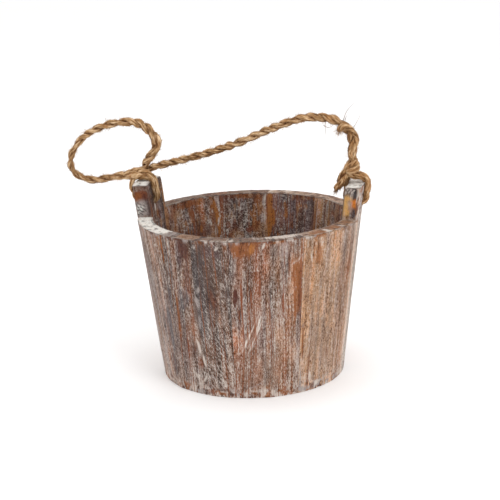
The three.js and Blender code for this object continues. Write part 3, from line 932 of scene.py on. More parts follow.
# Marks of stain, worn wood, glue and chips. Each has its finish, its place round the turn in
# degrees and up the wall, how far it reaches across and along, its lean in degrees and its
# strength. All the marks' lengths are in millimetres.
outside_marks = (
    ("mauve", 238, 38, 14, 30, 3, 0.38), ("umber", 256, 30, 8, 20, 0, 0.35),
    ("grey_pink", 205, 80, 18, 80, 0, 0.35), ("tan_grey", 284, 22, 22, 24, 0, 0.5),
    ("tan_grey", 322, 30, 22, 34, 0, 0.55), ("dark_grey_brown", 259, 115, 13, 38, 0, 0.75),
    ("plum", 243.5, 132, 4.5, 12, 6, 0.56), ("plum", 246.5, 108, 3, 16, 4, 0.48),
    ("plum", 262, 134.5, 9, 5, 0, 0.4), ("plum", 240.5, 98, 2, 12, 3, 0.4),
    ("rust", 231.4, 133, 1.1, 13, 0, 1), ("tan", 229.3, 136, 1, 10, 0, 0.88),
    ("dark_red", 246.6, 134, 4.5, 10, -10, 0.75), ("cream", 253.1, 137.6, 1.1, 1.1, 0, 1),
    ("charcoal", 253.2, 120, 5, 18, 4, 0.45), ("charcoal", 252, 85, 5.5, 30, 4, 0.45),
    ("slate", 242.5, 90, 4.5, 11, 5, 0.56), ("slate", 238, 76, 2.8, 12, 4, 0.48),
    ("slate", 231.5, 86, 2.6, 14, 3, 0.6), ("slate", 227.5, 56, 4, 20, 3, 0.7),
    ("slate", 225.5, 21, 4, 12, 0, 0.8), ("slate", 236, 112, 1.8, 14, 4, 0.4),
    ("pale_grey", 252.6, 99, 1.6, 3, 20, 0.75), ("pale_grey", 251.6, 87, 1.8, 4.5, -14, 0.88),
    ("pale_grey", 251.6, 69, 1.2, 5, 5, 0.62), ("cream", 264.7, 137.4, 0.7, 2.2, 52, 1),
    ("cream", 266.5, 138.6, 0.5, 2.2, 80, 0.88), ("charcoal", 257.2, 124.4, 1.1, 1.3, 0, 1),
    ("umber", 263.2, 106, 3.4, 9, -8, 0.6), ("rust_red", 260.5, 92, 2.2, 7, -12, 0.5),
    ("rust", 277, 139, 12, 8, 0, 0.75), ("orange", 282, 137, 2.8, 5, 0, 0.88),
    ("rust", 274, 136, 3, 6, 4, 0.5), ("rust_red", 276, 82, 0.6, 34, 0, 1),
    ("dark_red", 272.6, 94, 1.6, 8.5, 4, 1), ("dark_red", 274.4, 78, 1, 6.5, 4, 0.94),
    ("rust_red", 280.7, 92, 0.6, 10, 0, 1), ("rust_red", 285.5, 104, 0.7, 12, 0, 1),
    ("rust_red", 297.5, 86, 0.8, 12, 0, 0.94), ("rust", 290, 60, 0.6, 26, 0, 0.62),
    ("pale_grey", 297, 134.5, 11, 6, 0, 0.35), ("rust", 293.5, 142, 5, 1, 0, 0.8),
    ("cream", 287.9, 140.5, 1.3, 3.2, 24, 1), ("cream", 303.5, 122.8, 0.6, 3, 62, 1),
    ("cream", 306.4, 126.2, 0.6, 4.5, 38, 1), ("charcoal", 299.8, 122.1, 1.1, 1, 0, 1),
    ("rust", 304.6, 112, 4.2, 13, 3, 0.8), ("rust", 305.6, 88, 3.4, 16, 2, 0.8),
    ("dark_red", 306.9, 96, 1, 16, 2, 0.75), ("rust", 309.6, 45, 0.8, 14, 0, 0.88),
    ("tan", 311, 100, 2.2, 45, 0, 0.4), ("rust", 317, 126.5, 3, 7.5, 0, 0.7),
    ("pale_grey", 334, 128, 4, 10, 0, 0.35), ("rust_red", 345, 108, 3, 14, 0, 0.55),
    ("rust", 337, 85, 2.6, 30, 0, 0.3), ("rose", 281, 60, 3.4, 15, 22, 0.45),
    ("cream", 279.2, 59, 0.7, 17, 24, 1), ("cream", 282.2, 57, 0.6, 15, 23, 1),
    ("cream", 284, 68, 0.8, 8, 16, 1), ("rust_red", 236.3, 56, 0.7, 12, 2, 1),
    ("rust", 237.2, 75, 1.2, 18, 2, 0.88), ("rust_red", 241.2, 40, 0.7, 20, 2, 1),
    ("rust_red", 247.5, 72, 0.5, 30, 3, 0.75), ("pale_grey", 219.8, 40, 1.2, 8, 0, 0.88),
    ("charcoal", 221.1, 55.6, 1.3, 1.6, 20, 1), ("charcoal", 212.9, 69, 1.2, 1.4, 0, 1),
    ("dark_red", 218, 4.5, 6, 3.5, 0, 0.7), ("cream", 249, 47, 1.2, 7.5, -12, 0.85),
    ("cream", 251.7, 34, 1.3, 7.5, -10, 0.9), ("rust_red", 249.2, 30, 3, 6.5, -8, 0.7),
    ("umber", 256, 40, 3, 8, -10, 0.6), ("cream", 244.4, 18.5, 1.4, 5.5, -40, 0.9),
    ("cream", 250.5, 15, 1.2, 4.5, 35, 0.9), ("pale_grey", 256.8, 18, 0.8, 6, -62, 0.88),
    ("dark_red", 252.5, 10, 3, 4, 0, 0.6), ("rust_red", 254.8, 4.5, 4, 2.8, 0, 0.7),
    ("cream", 262.4, 5, 3.4, 2.4, 0, 0.7), ("cream", 268.6, 4, 2.6, 2.2, 0, 0.6),
    ("pale_grey", 281.5, 11.8, 0.5, 8.5, 64, 0.88), ("rust", 281.2, 6, 2.6, 3.2, 0, 0.8),
    ("orange", 288, 5.2, 3, 4.4, 0, 0.62), ("cream", 299.5, 4.5, 3.8, 2.6, 0, 0.6),
    ("pale_grey", 308.9, 14, 0.8, 11, 0, 1), ("cream", 316.1, 9.5, 1.6, 6.5, -6, 0.81),
    ("rust", 338, 4, 5, 3.2, 0, 0.6), ("cream", 222, 142, 3, 1.4, 0, 0.5),
    ("pale_grey", 20, 60, 5, 30, 0, 0.3), ("rust", 26.5, 110, 2, 20, 2, 0.7),
    ("dark_red", 44, 50, 3, 10, 0, 0.6), ("cream", 37, 20, 3, 3, 0, 0.6),
    ("rust_red", 50, 120, 0.6, 22, 0, 1), ("charcoal", 66, 80, 6, 30, 3, 0.5),
    ("pale_grey", 71, 127, 0.9, 10, 12, 0.88), ("slate", 77, 45, 3, 20, 0, 0.48),
    ("rust_red", 82, 60, 0.7, 30, 0, 1), ("rust", 93, 136, 6, 5, 0, 0.8),
    ("cream", 98, 142, 2, 2, 0, 0.8), ("rust", 101, 70, 1.2, 30, 0, 0.75),
    ("dark_red", 112, 100, 1.4, 10, 4, 1), ("cream", 110, 6, 4, 3, 0, 0.7),
    ("rust_red", 117, 50, 0.7, 30, 0, 1), ("slate", 131, 110, 4, 20, 0, 0.48),
    ("charcoal", 138, 50, 5, 20, 0, 0.5), ("pale_grey", 145, 90, 0.7, 12, -18, 0.88),
    ("rust", 156, 125, 2.2, 14, 0, 0.7), ("cream", 152, 8, 4, 3.5, 0, 0.6),
    ("rust_red", 172, 80, 0.7, 30, 0, 0.88), ("cream", 181, 5, 4, 3, 0, 0.5),
    ("charcoal", 186, 120, 1.2, 1.5, 0, 1), ("orange", -10.6, 164, 0.6, 9, 0, 1),
    ("rust", -10.2, 147, 0.7, 6, 0, 0.75), ("cream", 2, 6, 4, 3, 0, 0.5),
)
inside_marks = (
    ("rust", 143, 140.5, 17, 3.6, 0, 0.8), ("rust", 141.5, 131, 3.6, 5.5, 20, 0.7),
    ("rust", 157, 133, 5, 7, 0, 0.5), ("black_brown", 148, 108, 20, 8, 0, 0.7),
    ("pale_grey", 161.5, 140, 1.4, 4, 10, 0.88), ("tan", 165.6, 140, 2.6, 26, 0, 1),
    ("orange", 123, 125, 2.6, 20, 8, 0.9), ("cream", 126.6, 139, 1.4, 2.4, 30, 0.88),
    ("cream", 126, 130, 1, 3, 0, 0.88), ("cream", 127.5, 119, 1.4, 3, 15, 1),
    ("cream", 122.2, 119, 0.9, 4, -10, 1), ("cream", 124.6, 110, 1.2, 5, 0, 0.75),
    ("black_brown", 136, 112, 12, 7, 0, 0.7), ("dark_red", 118, 139, 3.4, 6, 0, 0.8),
    ("rust_red", 113, 142, 5, 2.4, 0, 0.8), ("rust", 104, 142, 10, 2.6, 0, 0.8),
    ("rust", 95, 138, 4.4, 6.5, 0, 0.8), ("rust", 96.5, 113, 4.2, 6.2, -25, 0.8),
    ("rust_red", 101.5, 109, 3, 4, 0, 0.7), ("rust_red", 116, 115, 2, 3, 0, 0.6),
    ("orange", 88.2, 125, 3.4, 26, -4, 0.9), ("orange", 85.8, 121.5, 2.4, 9, 0, 1),
    ("cream", 90.9, 140, 0.8, 5, -10, 1), ("cream", 91.4, 122, 0.8, 5, 0, 0.88),
    ("cream", 79.5, 142, 2.4, 1, 0, 0.7), ("pale_tan", 54, 127, 1.5, 20, 0, 1),
    ("pale_grey", 52.8, 126, 0.6, 18, 0, 0.88), ("pale_tan", 48.8, 133, 1.2, 16, 0, 1),
    ("black_brown", 45.5, 130, 1, 20, 0, 0.88), ("pale_tan", 41, 133, 1, 14, 0, 0.75),
    ("black_brown", 30, 135, 6, 12, 0, 0.5), ("cream", 179.6, 150, 2, 5.6, 0, 1),
    ("charcoal", 190.4, 160, 1.2, 20, 0, 1), ("pale_grey", 172, 162, 1, 9, 0, 0.5),
    ("rust", 60, 50, 6, 20, 0, 0.5), ("rust", 250, 90, 4, 30, 0, 0.6),
    ("orange", 270.5, 100, 2.2, 30, 0, 1), ("rust", 308, 110, 2.4, 25, 0, 0.8),
    ("rust", 232, 110, 2, 26, 0, 0.8), ("rust", 290, 140, 18, 4, 0, 0.8),
    ("rust", 325, 138, 10, 5, 0, 0.7),
)

# The end grain of the rim and of the ears, and the two ears' front edges. An end mark's place is
# on the turn and so far inside the outer face, and an edge mark's is so far inside it and so high.
end_finishes = {
    "ear_stave_right": "white", "ear_stave_left": "white", "stave_front_1": "white",
    "stave_front_2": "tan_grey", "stave_front_3": "tan_grey", "stave_front_4": "sand",
    "stave_back_1": "pale_sand", "stave_back_2": "pale_sand", "stave_back_3": "tan_grey",
    "stave_back_4": "tan_grey",
}
end_marks = (
    ("pale_grey", 236, 4, 6, 10, 0, 0.7), ("tan", 248, 6, 10, 8, 0, 0.5),
    ("cream", 272, 2, 2, 6, 0, 0.95), ("cream", 298, 9, 22, 5, 0, 0.9), ("rust", 318, 4, 7, 5, 0, 0.7),
    ("cream", 324, 3, 2.4, 6, 0, 0.9), ("rust", 331, 5, 5, 6, 0, 0.6), ("cream", 336, 4, 2, 4, 0, 0.8),
    ("tan", 343, 5, 4, 6, 0, 0.6), ("cream", 88, 4, 2.4, 5, 0, 0.8), ("cream", 78, 4, 4, 5, 0, 0.7),
    ("rust", 120, 6, 10, 6, 0, 0.4), ("charcoal", 214, 5, 1.2, 1.2, 0, 0.8),
    ("charcoal", 220, 8, 1.6, 0.8, 0, 0.8), ("charcoal", 222.5, 4, 1, 1.2, 0, 0.7),
    ("charcoal", 206, 9, 1, 1, 0, 0.6),
)
edge_base = {"ear_stave_right": "pale_sand", "ear_stave_left": "brown"}
edge_marks = {
    "ear_stave_right": (
        ("dark_grey_brown", 8, 170, 8, 5.2, 0, 0.95), ("honey", 10, 155.2, 6, 10.4, 6, 1),
        ("charcoal", 3, 166.8, 2, 7.2, 0, 0.95), ("amber", 3.6, 157, 3, 5.8, -20, 1),
        ("mauve", 3.6, 149.4, 2.6, 5, 0, 1), ("rose", 6.6, 156, 1.6, 5, 12, 0.9),
        ("cream", 10.4, 170.6, 0.5, 3, 35, 1), ("cream", 8.2, 170, 0.5, 3.4, -30, 1),
        ("cream", 6.2, 169.2, 0.5, 3, 20, 1), ("cream", 11.8, 168.2, 0.8, 1.6, 0, 1),
        ("cream", 4.6, 170.4, 0.4, 2.6, -35, 1), ("cream", 1.2, 162.2, 0.5, 6, 0, 1),
        ("white", 0.4, 169, 0.7, 5, 0, 0.95), ("rust", 1, 154.5, 0.6, 6, 0, 0.8),
        ("tan", 9, 146.2, 4, 2, 0, 0.7), ("dark_red", 6.6, 147, 1, 1.2, 0, 0.7),
    ),
    "ear_stave_left": (
        ("grey_brown", 7, 171.6, 8.5, 1.8, 0, 0.9), ("rust_red", 6.2, 163.6, 8, 6.6, 0, 1),
        ("rust", 3, 164, 3, 4.2, 10, 0.8), ("dark_red", 8.8, 161, 2.4, 5, 15, 0.6),
        ("mauve", 10.4, 152, 3.6, 7, 20, 0.8), ("pale_grey", 3.6, 151.2, 6, 7.4, 0, 1),
        ("charcoal", 1.2, 156.6, 0.4, 1.6, 60, 1), ("charcoal", 3.4, 155.2, 0.4, 2.4, 58, 1),
        ("charcoal", 5.4, 153.6, 0.4, 2.4, 62, 1), ("charcoal", 2, 153.4, 0.4, 2.2, 55, 1),
        ("charcoal", 4.2, 151.4, 0.4, 2.6, 64, 1), ("charcoal", 1.4, 150.6, 0.4, 2, 58, 1),
        ("charcoal", 6.4, 150, 0.5, 2.4, 70, 1), ("charcoal", 3.4, 148.8, 0.4, 2.4, 66, 1),
        ("charcoal", 1.2, 147.4, 0.5, 1.8, 60, 1), ("charcoal", 5.4, 147.2, 0.4, 2.2, 72, 1),
        ("black_brown", 13, 160, 1, 13, 0, 0.9), ("white", 2.4, 154.5, 0.4, 2.4, 59, 1),
        ("white", 4.4, 152.4, 0.4, 2.6, 63, 1), ("white", 1.8, 152.4, 0.4, 1.8, 56, 1),
        ("white", 3.4, 150.1, 0.4, 2.6, 66, 0.9), ("white", 1.8, 148.5, 0.4, 2, 62, 0.9),
    ),
}


# How far from a face or an end its finish gives way to the edge's, and where it is whole
outer_skin = (0.0007, 0.0002)
inner_skin = (0.0015, 0.0004)
end_skin = (0.0011, 0.0001)


def places_on(mesh, seed, start_angle, angle, top):
    """Where each place of a board is: how high, how far inside the bucket's outer face, how far
    from the board's middle and how far round the turn, and which of its sides it is on."""
    place = np.zeros(len(mesh.vertices) * 3)
    mesh.vertices.foreach_get("co", place)
    x, y, height = place.reshape(-1, 3).T
    radius = np.hypot(x, y)
    middle_turn = start_angle + angle / 2
    turn = (np.arctan2(y, x) - middle_turn + math.pi) % (2 * math.pi) - math.pi
    inward = wall_radius(height) - radius
    outer = near(inward, *outer_skin)
    inner = near(wall_thickness - inward, *inner_skin)
    end = near(top - height, *end_skin)
    return SimpleNamespace(
        seed=seed,
        height=height,
        radius=radius,
        inward=inward,
        across=turn * radius,
        half_width=angle / 2 * radius,
        middle_turn=middle_turn,
        degrees=np.degrees(turn + middle_turn),
        outer=outer,
        inner=inner,
        end=end,
        edge=(1 - outer) * (1 - inner) * (1 - end),
    )


# How high the grain stands, and how far the edges are rounded: a little all over, more near the
# ends and most where the wood has chipped
line_relief = 0.00010
wide_relief = 0.00013
wave_relief = 0.00022
inner_relief = 0.8
sawn_relief = 0.00016
sawn_wave_relief = 0.00010
sawn_drop = 0.0002
foot_relief = 0.5
least_ease = 0.00012
end_ease = 0.0003
chip_ease = 0.0013
worn_reach = (0.004, 0.001)


def wear_down(mesh, board, top):
    """Raises the grain of a clean board and its sawn ends, and rounds its edges by a radius that
    grows where the wood has chipped. Notes on the board where that is."""
    inward, height = board.inward, board.height
    outside = inward < on_face
    inside = inward > wall_thickness - on_face
    topmost = height > top - on_level
    foot = height < on_level
    croze_top = chime_height + croze_height
    in_croze = (height > chime_height - on_level) & (height < croze_top + on_level)
    in_croze &= inward > wall_thickness / 2
    push = line_relief * soft_noise("grain_lines", board)
    push += wide_relief * soft_noise("wide_lines", board)
    push += wave_relief * soft_noise("waves", board)
    ends = sawn_relief * soft_noise("sawn", board, inward)
    ends += sawn_wave_relief * soft_noise("sawn_waves", board, inward)

    board.wear = over(soft_noise("wear", board, height + inward, shift=7), 0.05, 0.8)
    broad_wear = over(soft_noise("broad_wear", board, shift=3), -0.4, 0.6)
    near_end = np.maximum(near(top - height, *worn_reach), near(height, *worn_reach))
    ease = least_ease + near_end * (end_ease + chip_ease * board.wear * broad_wear)
    middle = np.stack([board.across, inward - wall_thickness / 2, height - top / 2], axis=1)
    thick = np.full(len(height), wall_thickness / 2)
    half = np.stack([board.half_width, thick, np.full(len(height), top / 2)], axis=1)
    core = np.clip(middle, ease[:, None] - half, half - ease[:, None])
    out = middle - core
    far = np.linalg.norm(out, axis=1)
    corner = (np.abs(middle) > half - ease[:, None]).sum(axis=1) > 1
    board.worn_corner = corner * over(near_end, 0.1, 0.6)
    eased = core + out * (ease / np.maximum(far, 1e-9))[:, None]
    rounded = np.where((corner & ~in_croze)[:, None], eased, middle)

    rounded[:, 1] += np.where(outside, -push, 0) + np.where(inside & ~in_croze, inner_relief * push, 0)
    rounded[:, 2] += np.where(topmost, ends - sawn_drop, 0)
    rounded[:, 2] += np.where(foot, np.abs(ends) * foot_relief, 0)
    new_height = np.clip(rounded[:, 2] + top / 2, 0, None)
    new_radius = wall_radius(new_height) - rounded[:, 1] - wall_thickness / 2
    new_turn = rounded[:, 0] / board.radius + board.middle_turn
    moved = np.stack([new_radius * np.cos(new_turn), new_radius * np.sin(new_turn), new_height], axis=1)
    mesh.vertices.foreach_set("co", moved.ravel())


# How far the zones of the stain drift, in degrees, and how much it changes and where it is paler
zone_drift = 2.2
streak_change = 0.42
cloud_change = 0.46
inner_cloud_change = 0.22
all_paler = 0.10
foot_paler = 0.46
inner_paler = 0.22
paler_reach = (0.090, 0.025)
warmest = 1.2
greying = 0.70
greyest = 0.65


def zoned(zones, degrees):
    """The finish between the places round the turn that a look gives."""
    places = [place for place, _ in zones]
    colours = np.array([finish_colours[name] for _, name in zones])
    return np.stack([np.interp(degrees, places, colours[:, part]) for part in range(3)], axis=1)


def stained(board, look):
    """A board's stain: the zones of its look, varied along the grain, browner or greyer in turn and
    paler near the foot."""
    degrees = board.degrees + zone_drift * soft_noise("drift", board)
    stain = zoned(look["outside"], degrees)
    stain += (zoned(look["inside"], degrees) - stain) * board.inner[:, None]
    variety = look.get("variety", 1)
    varied = streak_change * soft_noise("streaks", board)
    varied += (cloud_change + inner_cloud_change * board.inner) * soft_noise("clouds", board)
    paler = all_paler + foot_paler * near(board.height, *paler_reach) + inner_paler * board.inner
    stain *= np.exp(variety * varied + paler)[:, None]
    warmth = variety * (soft_noise("fine_warmth", board) + soft_noise("warmth", board))
    stain *= np.exp(np.clip(warmth, 0, warmest)[:, None] * np.array(warm_tint))
    grey = stain.mean(axis=1, keepdims=True) * np.array(grey_tint)
    return stain + (grey - stain) * np.clip(-greying * warmth, 0, greyest)[:, None]


# A mark's fall from its middle, how ragged it is and where its edge lies. Scraps of old finish
# lie near the foot and the rim outside, and patches of it inside.
mark_fall = 0.7
mark_raggedness = 0.28
mark_edge = (0.30, 0.68)
scrap_finishes = ("dark_red", "rust", "pale_grey", "cream")
scrap_strength = 0.92
scrap_edge = (0.32, 0.50)
foot_reach = (0.015, 0.004)
rim_reach = (0.005, 0.001)
patch_finishes = ("black_brown", "rust", "orange", "dark_red", "sand")
patch_strength = 0.7
patch_edge = (0.55, 0.95)
outer_lip = (0.0024, 0.0008)
inner_lip = (0.002, 0.0006)


def lay_on(board, finish, amount, covering=0):
    """Lays a finish on a board by an amount at each place. It covers the wood by a share of that,
    and keeps the wash off it."""
    board.stain += (np.array(finish_colours[finish]) - board.stain) * amount[:, None]
    board.even += (smooth_finishes.get(finish, 0) - board.even) * amount
    board.cover = np.maximum(board.cover, covering * amount)


def lay_marks(board, marks, aside_of, above, shown, covering=1):
    """Lays marks on the side of a board that is shown: full in their middle, with uneven edges."""
    for finish, place, rise, reach_across, reach_along, lean, strength in marks:
        aside, upward, lean = aside_of(place), above - rise * millimetre, math.radians(lean)
        straight = (aside * math.cos(lean) - upward * math.sin(lean)) / (reach_across * millimetre)
        upright = (upward * math.cos(lean) + aside * math.sin(lean)) / (reach_along * millimetre)
        shape = np.exp(-mark_fall * (straight**2 + upright**2)) + mark_raggedness * board.ragged
        lay_on(board, finish, over(shape, *mark_edge) * strength * shown, covering)


def lay_finish(board, name):
    """Lays the whole finish on a board: its stain, then the marks of its faces, edges and end."""
    height, inward, inner, end = board.height, board.inward, board.inner, board.end
    board.stain = stained(board, looks[name])
    board.even, board.cover = np.zeros(len(height)), np.zeros(len(height))
    board.ragged = 0.8 * soft_noise("ragged", board) + 0.6 * soft_noise("torn", board)

    def round_from(degrees):
        """How far round the bucket each place is from a place on the turn."""
        return np.radians((board.degrees - degrees + 180) % 360 - 180) * board.radius

    lay_marks(board, outside_marks, round_from, height, board.outer * (1 - end))
    lay_marks(board, inside_marks, round_from, height, inner * (1 - end))
    near_edges = np.maximum(near(height, *foot_reach), near(body_height - height, *rim_reach))
    for step, finish in enumerate(scrap_finishes):
        scrap = soft_noise("scraps", board, step=step, shift=31 * step) + 0.4 * board.ragged
        scrap = scrap_strength * over(scrap, *scrap_edge) * near_edges * board.outer
        lay_on(board, finish, scrap, covering=1)
    for step, finish in enumerate(patch_finishes):
        patch = soft_noise("patches", board, step=step, shift=17 * step) + 0.45 * board.ragged
        patch = patch_strength * over(patch, *patch_edge) * inner
        lay_on(board, finish, patch, covering=0.5)
        board.even -= 0.8 * patch * smooth_finishes.get(finish, 0)
    board.even *= 1 - 0.5 * inner
    lay_on(board, "tan", 0.9 * board.edge)
    if name in edge_marks:
        front_side = board.across if name == "ear_stave_left" else -board.across
        shown = board.edge * (front_side > 0) * near(body_height - height, 0.004, 0)
        lay_on(board, edge_base[name], shown)
        lay_marks(board, edge_marks[name], lambda depth: inward - depth * millimetre, height, shown)

    lay_on(board, end_finishes[name], 0.92 * end)
    blotchy = over(soft_noise("blotches", board, inward), -0.2, 0.5)
    if end_finishes[name] != "white":
        lay_on(board, "brown", 0.75 * blotchy * end)
    lip = np.maximum(near(inward, *outer_lip), 0.8 * near(wall_thickness - inward, *inner_lip))
    chips = soft_noise("chips", board, inward) + 0.5 * board.ragged
    lay_on(board, "cream", 0.85 * lip * over(chips, -0.2, 0.35) * end)
    lay_on(board, "charcoal", 0.8 * over(-chips, 0.45, 0.75) * end)
    lay_marks(board, end_marks, round_from, inward, end, covering=0)
    chipped = board.worn_corner * over(board.wear + 0.5 * board.ragged, 0.2, 0.7)
    lay_on(board, "cream", 0.75 * chipped)


# How much wash there is all over and near the foot, and how much less on the marks and the ends
all_wash = 0.20
foot_wash = 0.60
wash_reach = (0.070, 0.008)
inner_wash = 0.05
wash_off_cover = 1.1
wash_off_end = 0.9


def washed(board, look):
    """How much white wash sits in a board's grain at each place, and how many red streaks it has."""
    inside_wash, inside_streaks = look.get("inside_wash", usual_inside_wash)
    wash, streaks = np.array(look["outside_wash"])[:, None] * np.ones(len(board.height))
    wash += all_wash + foot_wash * near(board.height, *wash_reach)
    wash += (inside_wash + inner_wash - wash) * board.inner
    wash -= wash_off_cover * board.cover + wash_off_end * board.end
    streaks += (inside_streaks - streaks) * board.inner
    streaks *= 1 - np.maximum(board.edge, board.end)
    return wash, streaks


# How far the grain bends, how much shorter it is on the edges and inside, how much wider it is
# inside, and how far each board's grain lies from the last one's
grain_bend = 0.0016
edge_gather = 3.2
inner_gather = 0.9
inner_spread = 0.45
board_shift = 0.37


def grain_on(board):
    """The grain's own coordinates. They bend slowly along the board, and run faster on its edges,
    its ends and its scraped inner face, so that the grain is shorter there."""
    bend = grain_bend * soft_noise("bend", board)
    gather = 1 + edge_gather * np.maximum(board.edge, board.end) + inner_gather * board.inner
    spread = 1 - inner_spread * board.inner
    across = (board.across + bend) * spread + board.seed * board_shift
    return np.stack([across, board.inward + 0.3 * bend, board.height * gather], axis=1)


def askew_on(board, name):
    """Where the grain lies askew: in one knotty zone of the second front stave."""
    if name != "stave_front_2":
        return np.zeros(len(board.height))
    wander = board.degrees % 360 + 3 * soft_noise("wander", board)
    return over(wander, 249, 253) * (1 - over(wander, 266, 269)) * board.outer


def finish_stave(stave, number, start_angle, angle, top, name):
    """Wears a clean blank down, and notes its finish at each place for the wood's material."""
    mesh = stave.data
    seed = first_seed + seed_step * number
    board = places_on(mesh, seed, start_angle, angle, top)
    wear_down(mesh, board, top)
    lay_finish(board, name)
    wash, streaks = washed(board, looks[name])
    notes = {"wash": wash, "streaks": streaks, "even": board.even, "askew": askew_on(board, name)}
    for attribute, value in notes.items():
        mesh.attributes.new(attribute, "FLOAT", "POINT").data.foreach_set("value", value)
    for attribute, value in (("stain", board.stain), ("grain", grain_on(board))):
        mesh.attributes.new(attribute, "FLOAT_VECTOR", "POINT").data.foreach_set("vector", value.ravel())


def add_swing(tree, level, noise, swing):
    """Adds a noise to a level, so that it swings about what the level was."""
    return reckon(tree, "ADD", level, reckon(tree, "MULTIPLY_ADD", noise, swing, -swing / 2))


def weathered_wood(name):
    """Brushed wood: what a board notes as its stain, dark in the pores, with red streaks along the
    grain, and on the highest fibres white wash mixed with a painted highlight on the raised grain."""
    finish, tree, shader = new_finish(name, roughness=0.8, specular=0.3)
    grain = noted(tree, "grain", "Vector")
    turned = tree.nodes.new("ShaderNodeMapping")
    turned.inputs["Rotation"].default_value = (0, math.radians(28), 0)
    tree.links.new(grain, turned.inputs["Vector"])
    askew = noted(tree, "askew")

    def strokes_of(stretch, scale, detail, rough):
        """A noise along the grain that slants where the grain is askew."""
        straight = noise_of(tree, grain, stretch, scale, detail, rough)
        slanting = noise_of(tree, turned.outputs["Vector"], stretch, scale, detail, rough)
        change = reckon(tree, "SUBTRACT", slanting, straight)
        return reckon(tree, "MULTIPLY_ADD", change, askew, straight)

    strokes = strokes_of((1, 1, 0.27), scale=1300, detail=2, rough=0.65)
    flecks = noise_of(tree, grain, (1, 1, 0.38), scale=2000, detail=2, rough=0.6)
    hairs = strokes_of((1, 1, 0.04), scale=950, detail=3, rough=0.6)
    bands = noise_of(tree, grain, (1, 1, 0.035), scale=260, detail=3)
    clouds = noise_of(tree, grain, (1, 1, 0.35), scale=240, detail=4, rough=0.6)
    long_lines = noise_of(tree, grain, (1, 1, 0.010), scale=340, detail=1)
    coarse = reckon(tree, "SUBTRACT", 1, noted(tree, "even"))

    # How full the wood is at each place: low in the pores, 1 on plain wood, more on the raised fibres, which
    # take the pale wash and painted highlight
    level = add_swing(tree, 0, strokes, swing=6.6)
    level = add_swing(tree, level, flecks, swing=5.4)
    level = add_swing(tree, level, hairs, swing=3.4)
    level = reckon(tree, "MULTIPLY", level, coarse)
    level = add_swing(tree, level, bands, swing=3.2)
    level = add_swing(tree, level, clouds, swing=2.6)
    level = reckon(tree, "ADD", level, 1)

    off_line = reckon(tree, "ABSOLUTE", reckon(tree, "MULTIPLY_ADD", long_lines, 2, -1))
    closeness = reckon(tree, "SUBTRACT", 1, off_line)
    red_line = reckon(tree, "ADD", closeness, reckon(tree, "MULTIPLY", noted(tree, "streaks"), 0.06))
    red_line = step_between(tree, add_swing(tree, red_line, bands, 0.22), 0.960, 1.01)
    red_line = reckon(tree, "MULTIPLY", red_line, 0.75)
    stain = layered(tree, noted(tree, "stain", "Color"), red_streak, red_line)
    pores = reckon(tree, "SUBTRACT", 1, step_between(tree, level, -0.5, 0.9))
    hollow = layered(tree, stain, pore_tint, 1, "MULTIPLY")
    colour = layered(tree, stain, hollow, reckon(tree, "MULTIPLY", pores, 0.97))
    # The pale colour goes where the wash is thick and where the relief is highest: white wash in part, and in
    # part a painted highlight on the tops of the raised grain.
    wash_and_highlight_level = add_swing(tree, reckon(tree, "ADD", level, noted(tree, "wash")), clouds, 0.2)
    wash_and_highlight_level = reckon(tree, "SUBTRACT", wash_and_highlight_level, reckon(tree, "MULTIPLY", red_line, 1.1))
    colour = layered(tree, colour, white_wash_and_highlight, step_between(tree, wash_and_highlight_level, 1.25, 4.1))
    colour_and_bump(tree, shader, colour, level, strength=0.9, distance=0.00055)
    return finish


def bore_through(ear, turn):
    """Bores the rope's hole through an ear, square to its leaning face."""
    height = body_height + bore_rise
    bpy.ops.object.select_all(action="DESELECT")
    bpy.ops.mesh.primitive_cylinder_add(vertices=bore_sides, radius=bore_radius, depth=4 * wall_thickness)
    bit = bpy.context.object
    middle = Vector((wall_radius(height) - wall_thickness / 2, 0, height))
    lean = Matrix.Rotation(math.pi / 2 + math.atan(flare), 4, "Y")
    bit.data.transform(Matrix.Rotation(turn, 4, "Z") @ Matrix.Translation(middle) @ lean)
    bore = ear.modifiers.new("bore", "BOOLEAN")
    bore.operation = "DIFFERENCE"
    bore.solver = "EXACT"
    bore.object = bit
    bpy.context.view_layer.objects.active = ear
    bpy.ops.object.modifier_apply(modifier=bore.name)
    bpy.data.objects.remove(bit)


wood = weathered_wood("weathered_wood")
ear_to_ear = (ear_share + sum(back_shares)) * 2 * math.pi
right_ear_turn = (math.pi - ear_to_ear) / 2
ring = [("ear_stave_right", ear_share)]
ring += [(f"stave_back_{place + 1}", share) for place, share in enumerate(back_shares)]
ring += [("ear_stave_left", ear_share)]
ring += [(f"stave_front_{place + 1}", share) for place, share in enumerate(front_shares)]

wall_section = stave_section(body_height)
ear_section = stave_section(body_height + ear_rise)
start_turn = right_ear_turn - ear_share * math.pi
for number, (name, share) in enumerate(ring):
    is_ear = name.startswith("ear")
    top = body_height + (ear_rise if is_ear else 0)
    angle = share * 2 * math.pi
    board = name.replace("stave", "board")
    stave = stave_blank(ear_section if is_ear else wall_section, board, start_turn, angle)
    if is_ear:
        bore_through(stave, start_turn + angle / 2)
    finish_stave(stave, number, start_turn, angle, top, name)
    bpy.ops.object.select_all(action="DESELECT")
    stave.select_set(True)
    bpy.context.view_layer.objects.active = stave
    bpy.ops.object.shade_smooth_by_angle(angle=crease_angle)
    stave.data.materials.clear()
    stave.data.materials.append(wood)
    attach(stave, "root")
    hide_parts(name)
    start_turn += angle
for section in (wall_section, ear_section):
    bpy.data.objects.remove(section)


# The bottom. Three sawn planks of the same wood, seated in the croze, were stained with the staves
# and never rubbed down, so saw marks, knots and a little stray wash show on a plain dark brown.
saw_brown = (0.060, 0.029, 0.018, 1)
plank_brown = (0.225, 0.118, 0.070, 1)
knot_brown = (0.052, 0.021, 0.013, 1)
stray_wash = (0.480, 0.410, 0.350, 1)


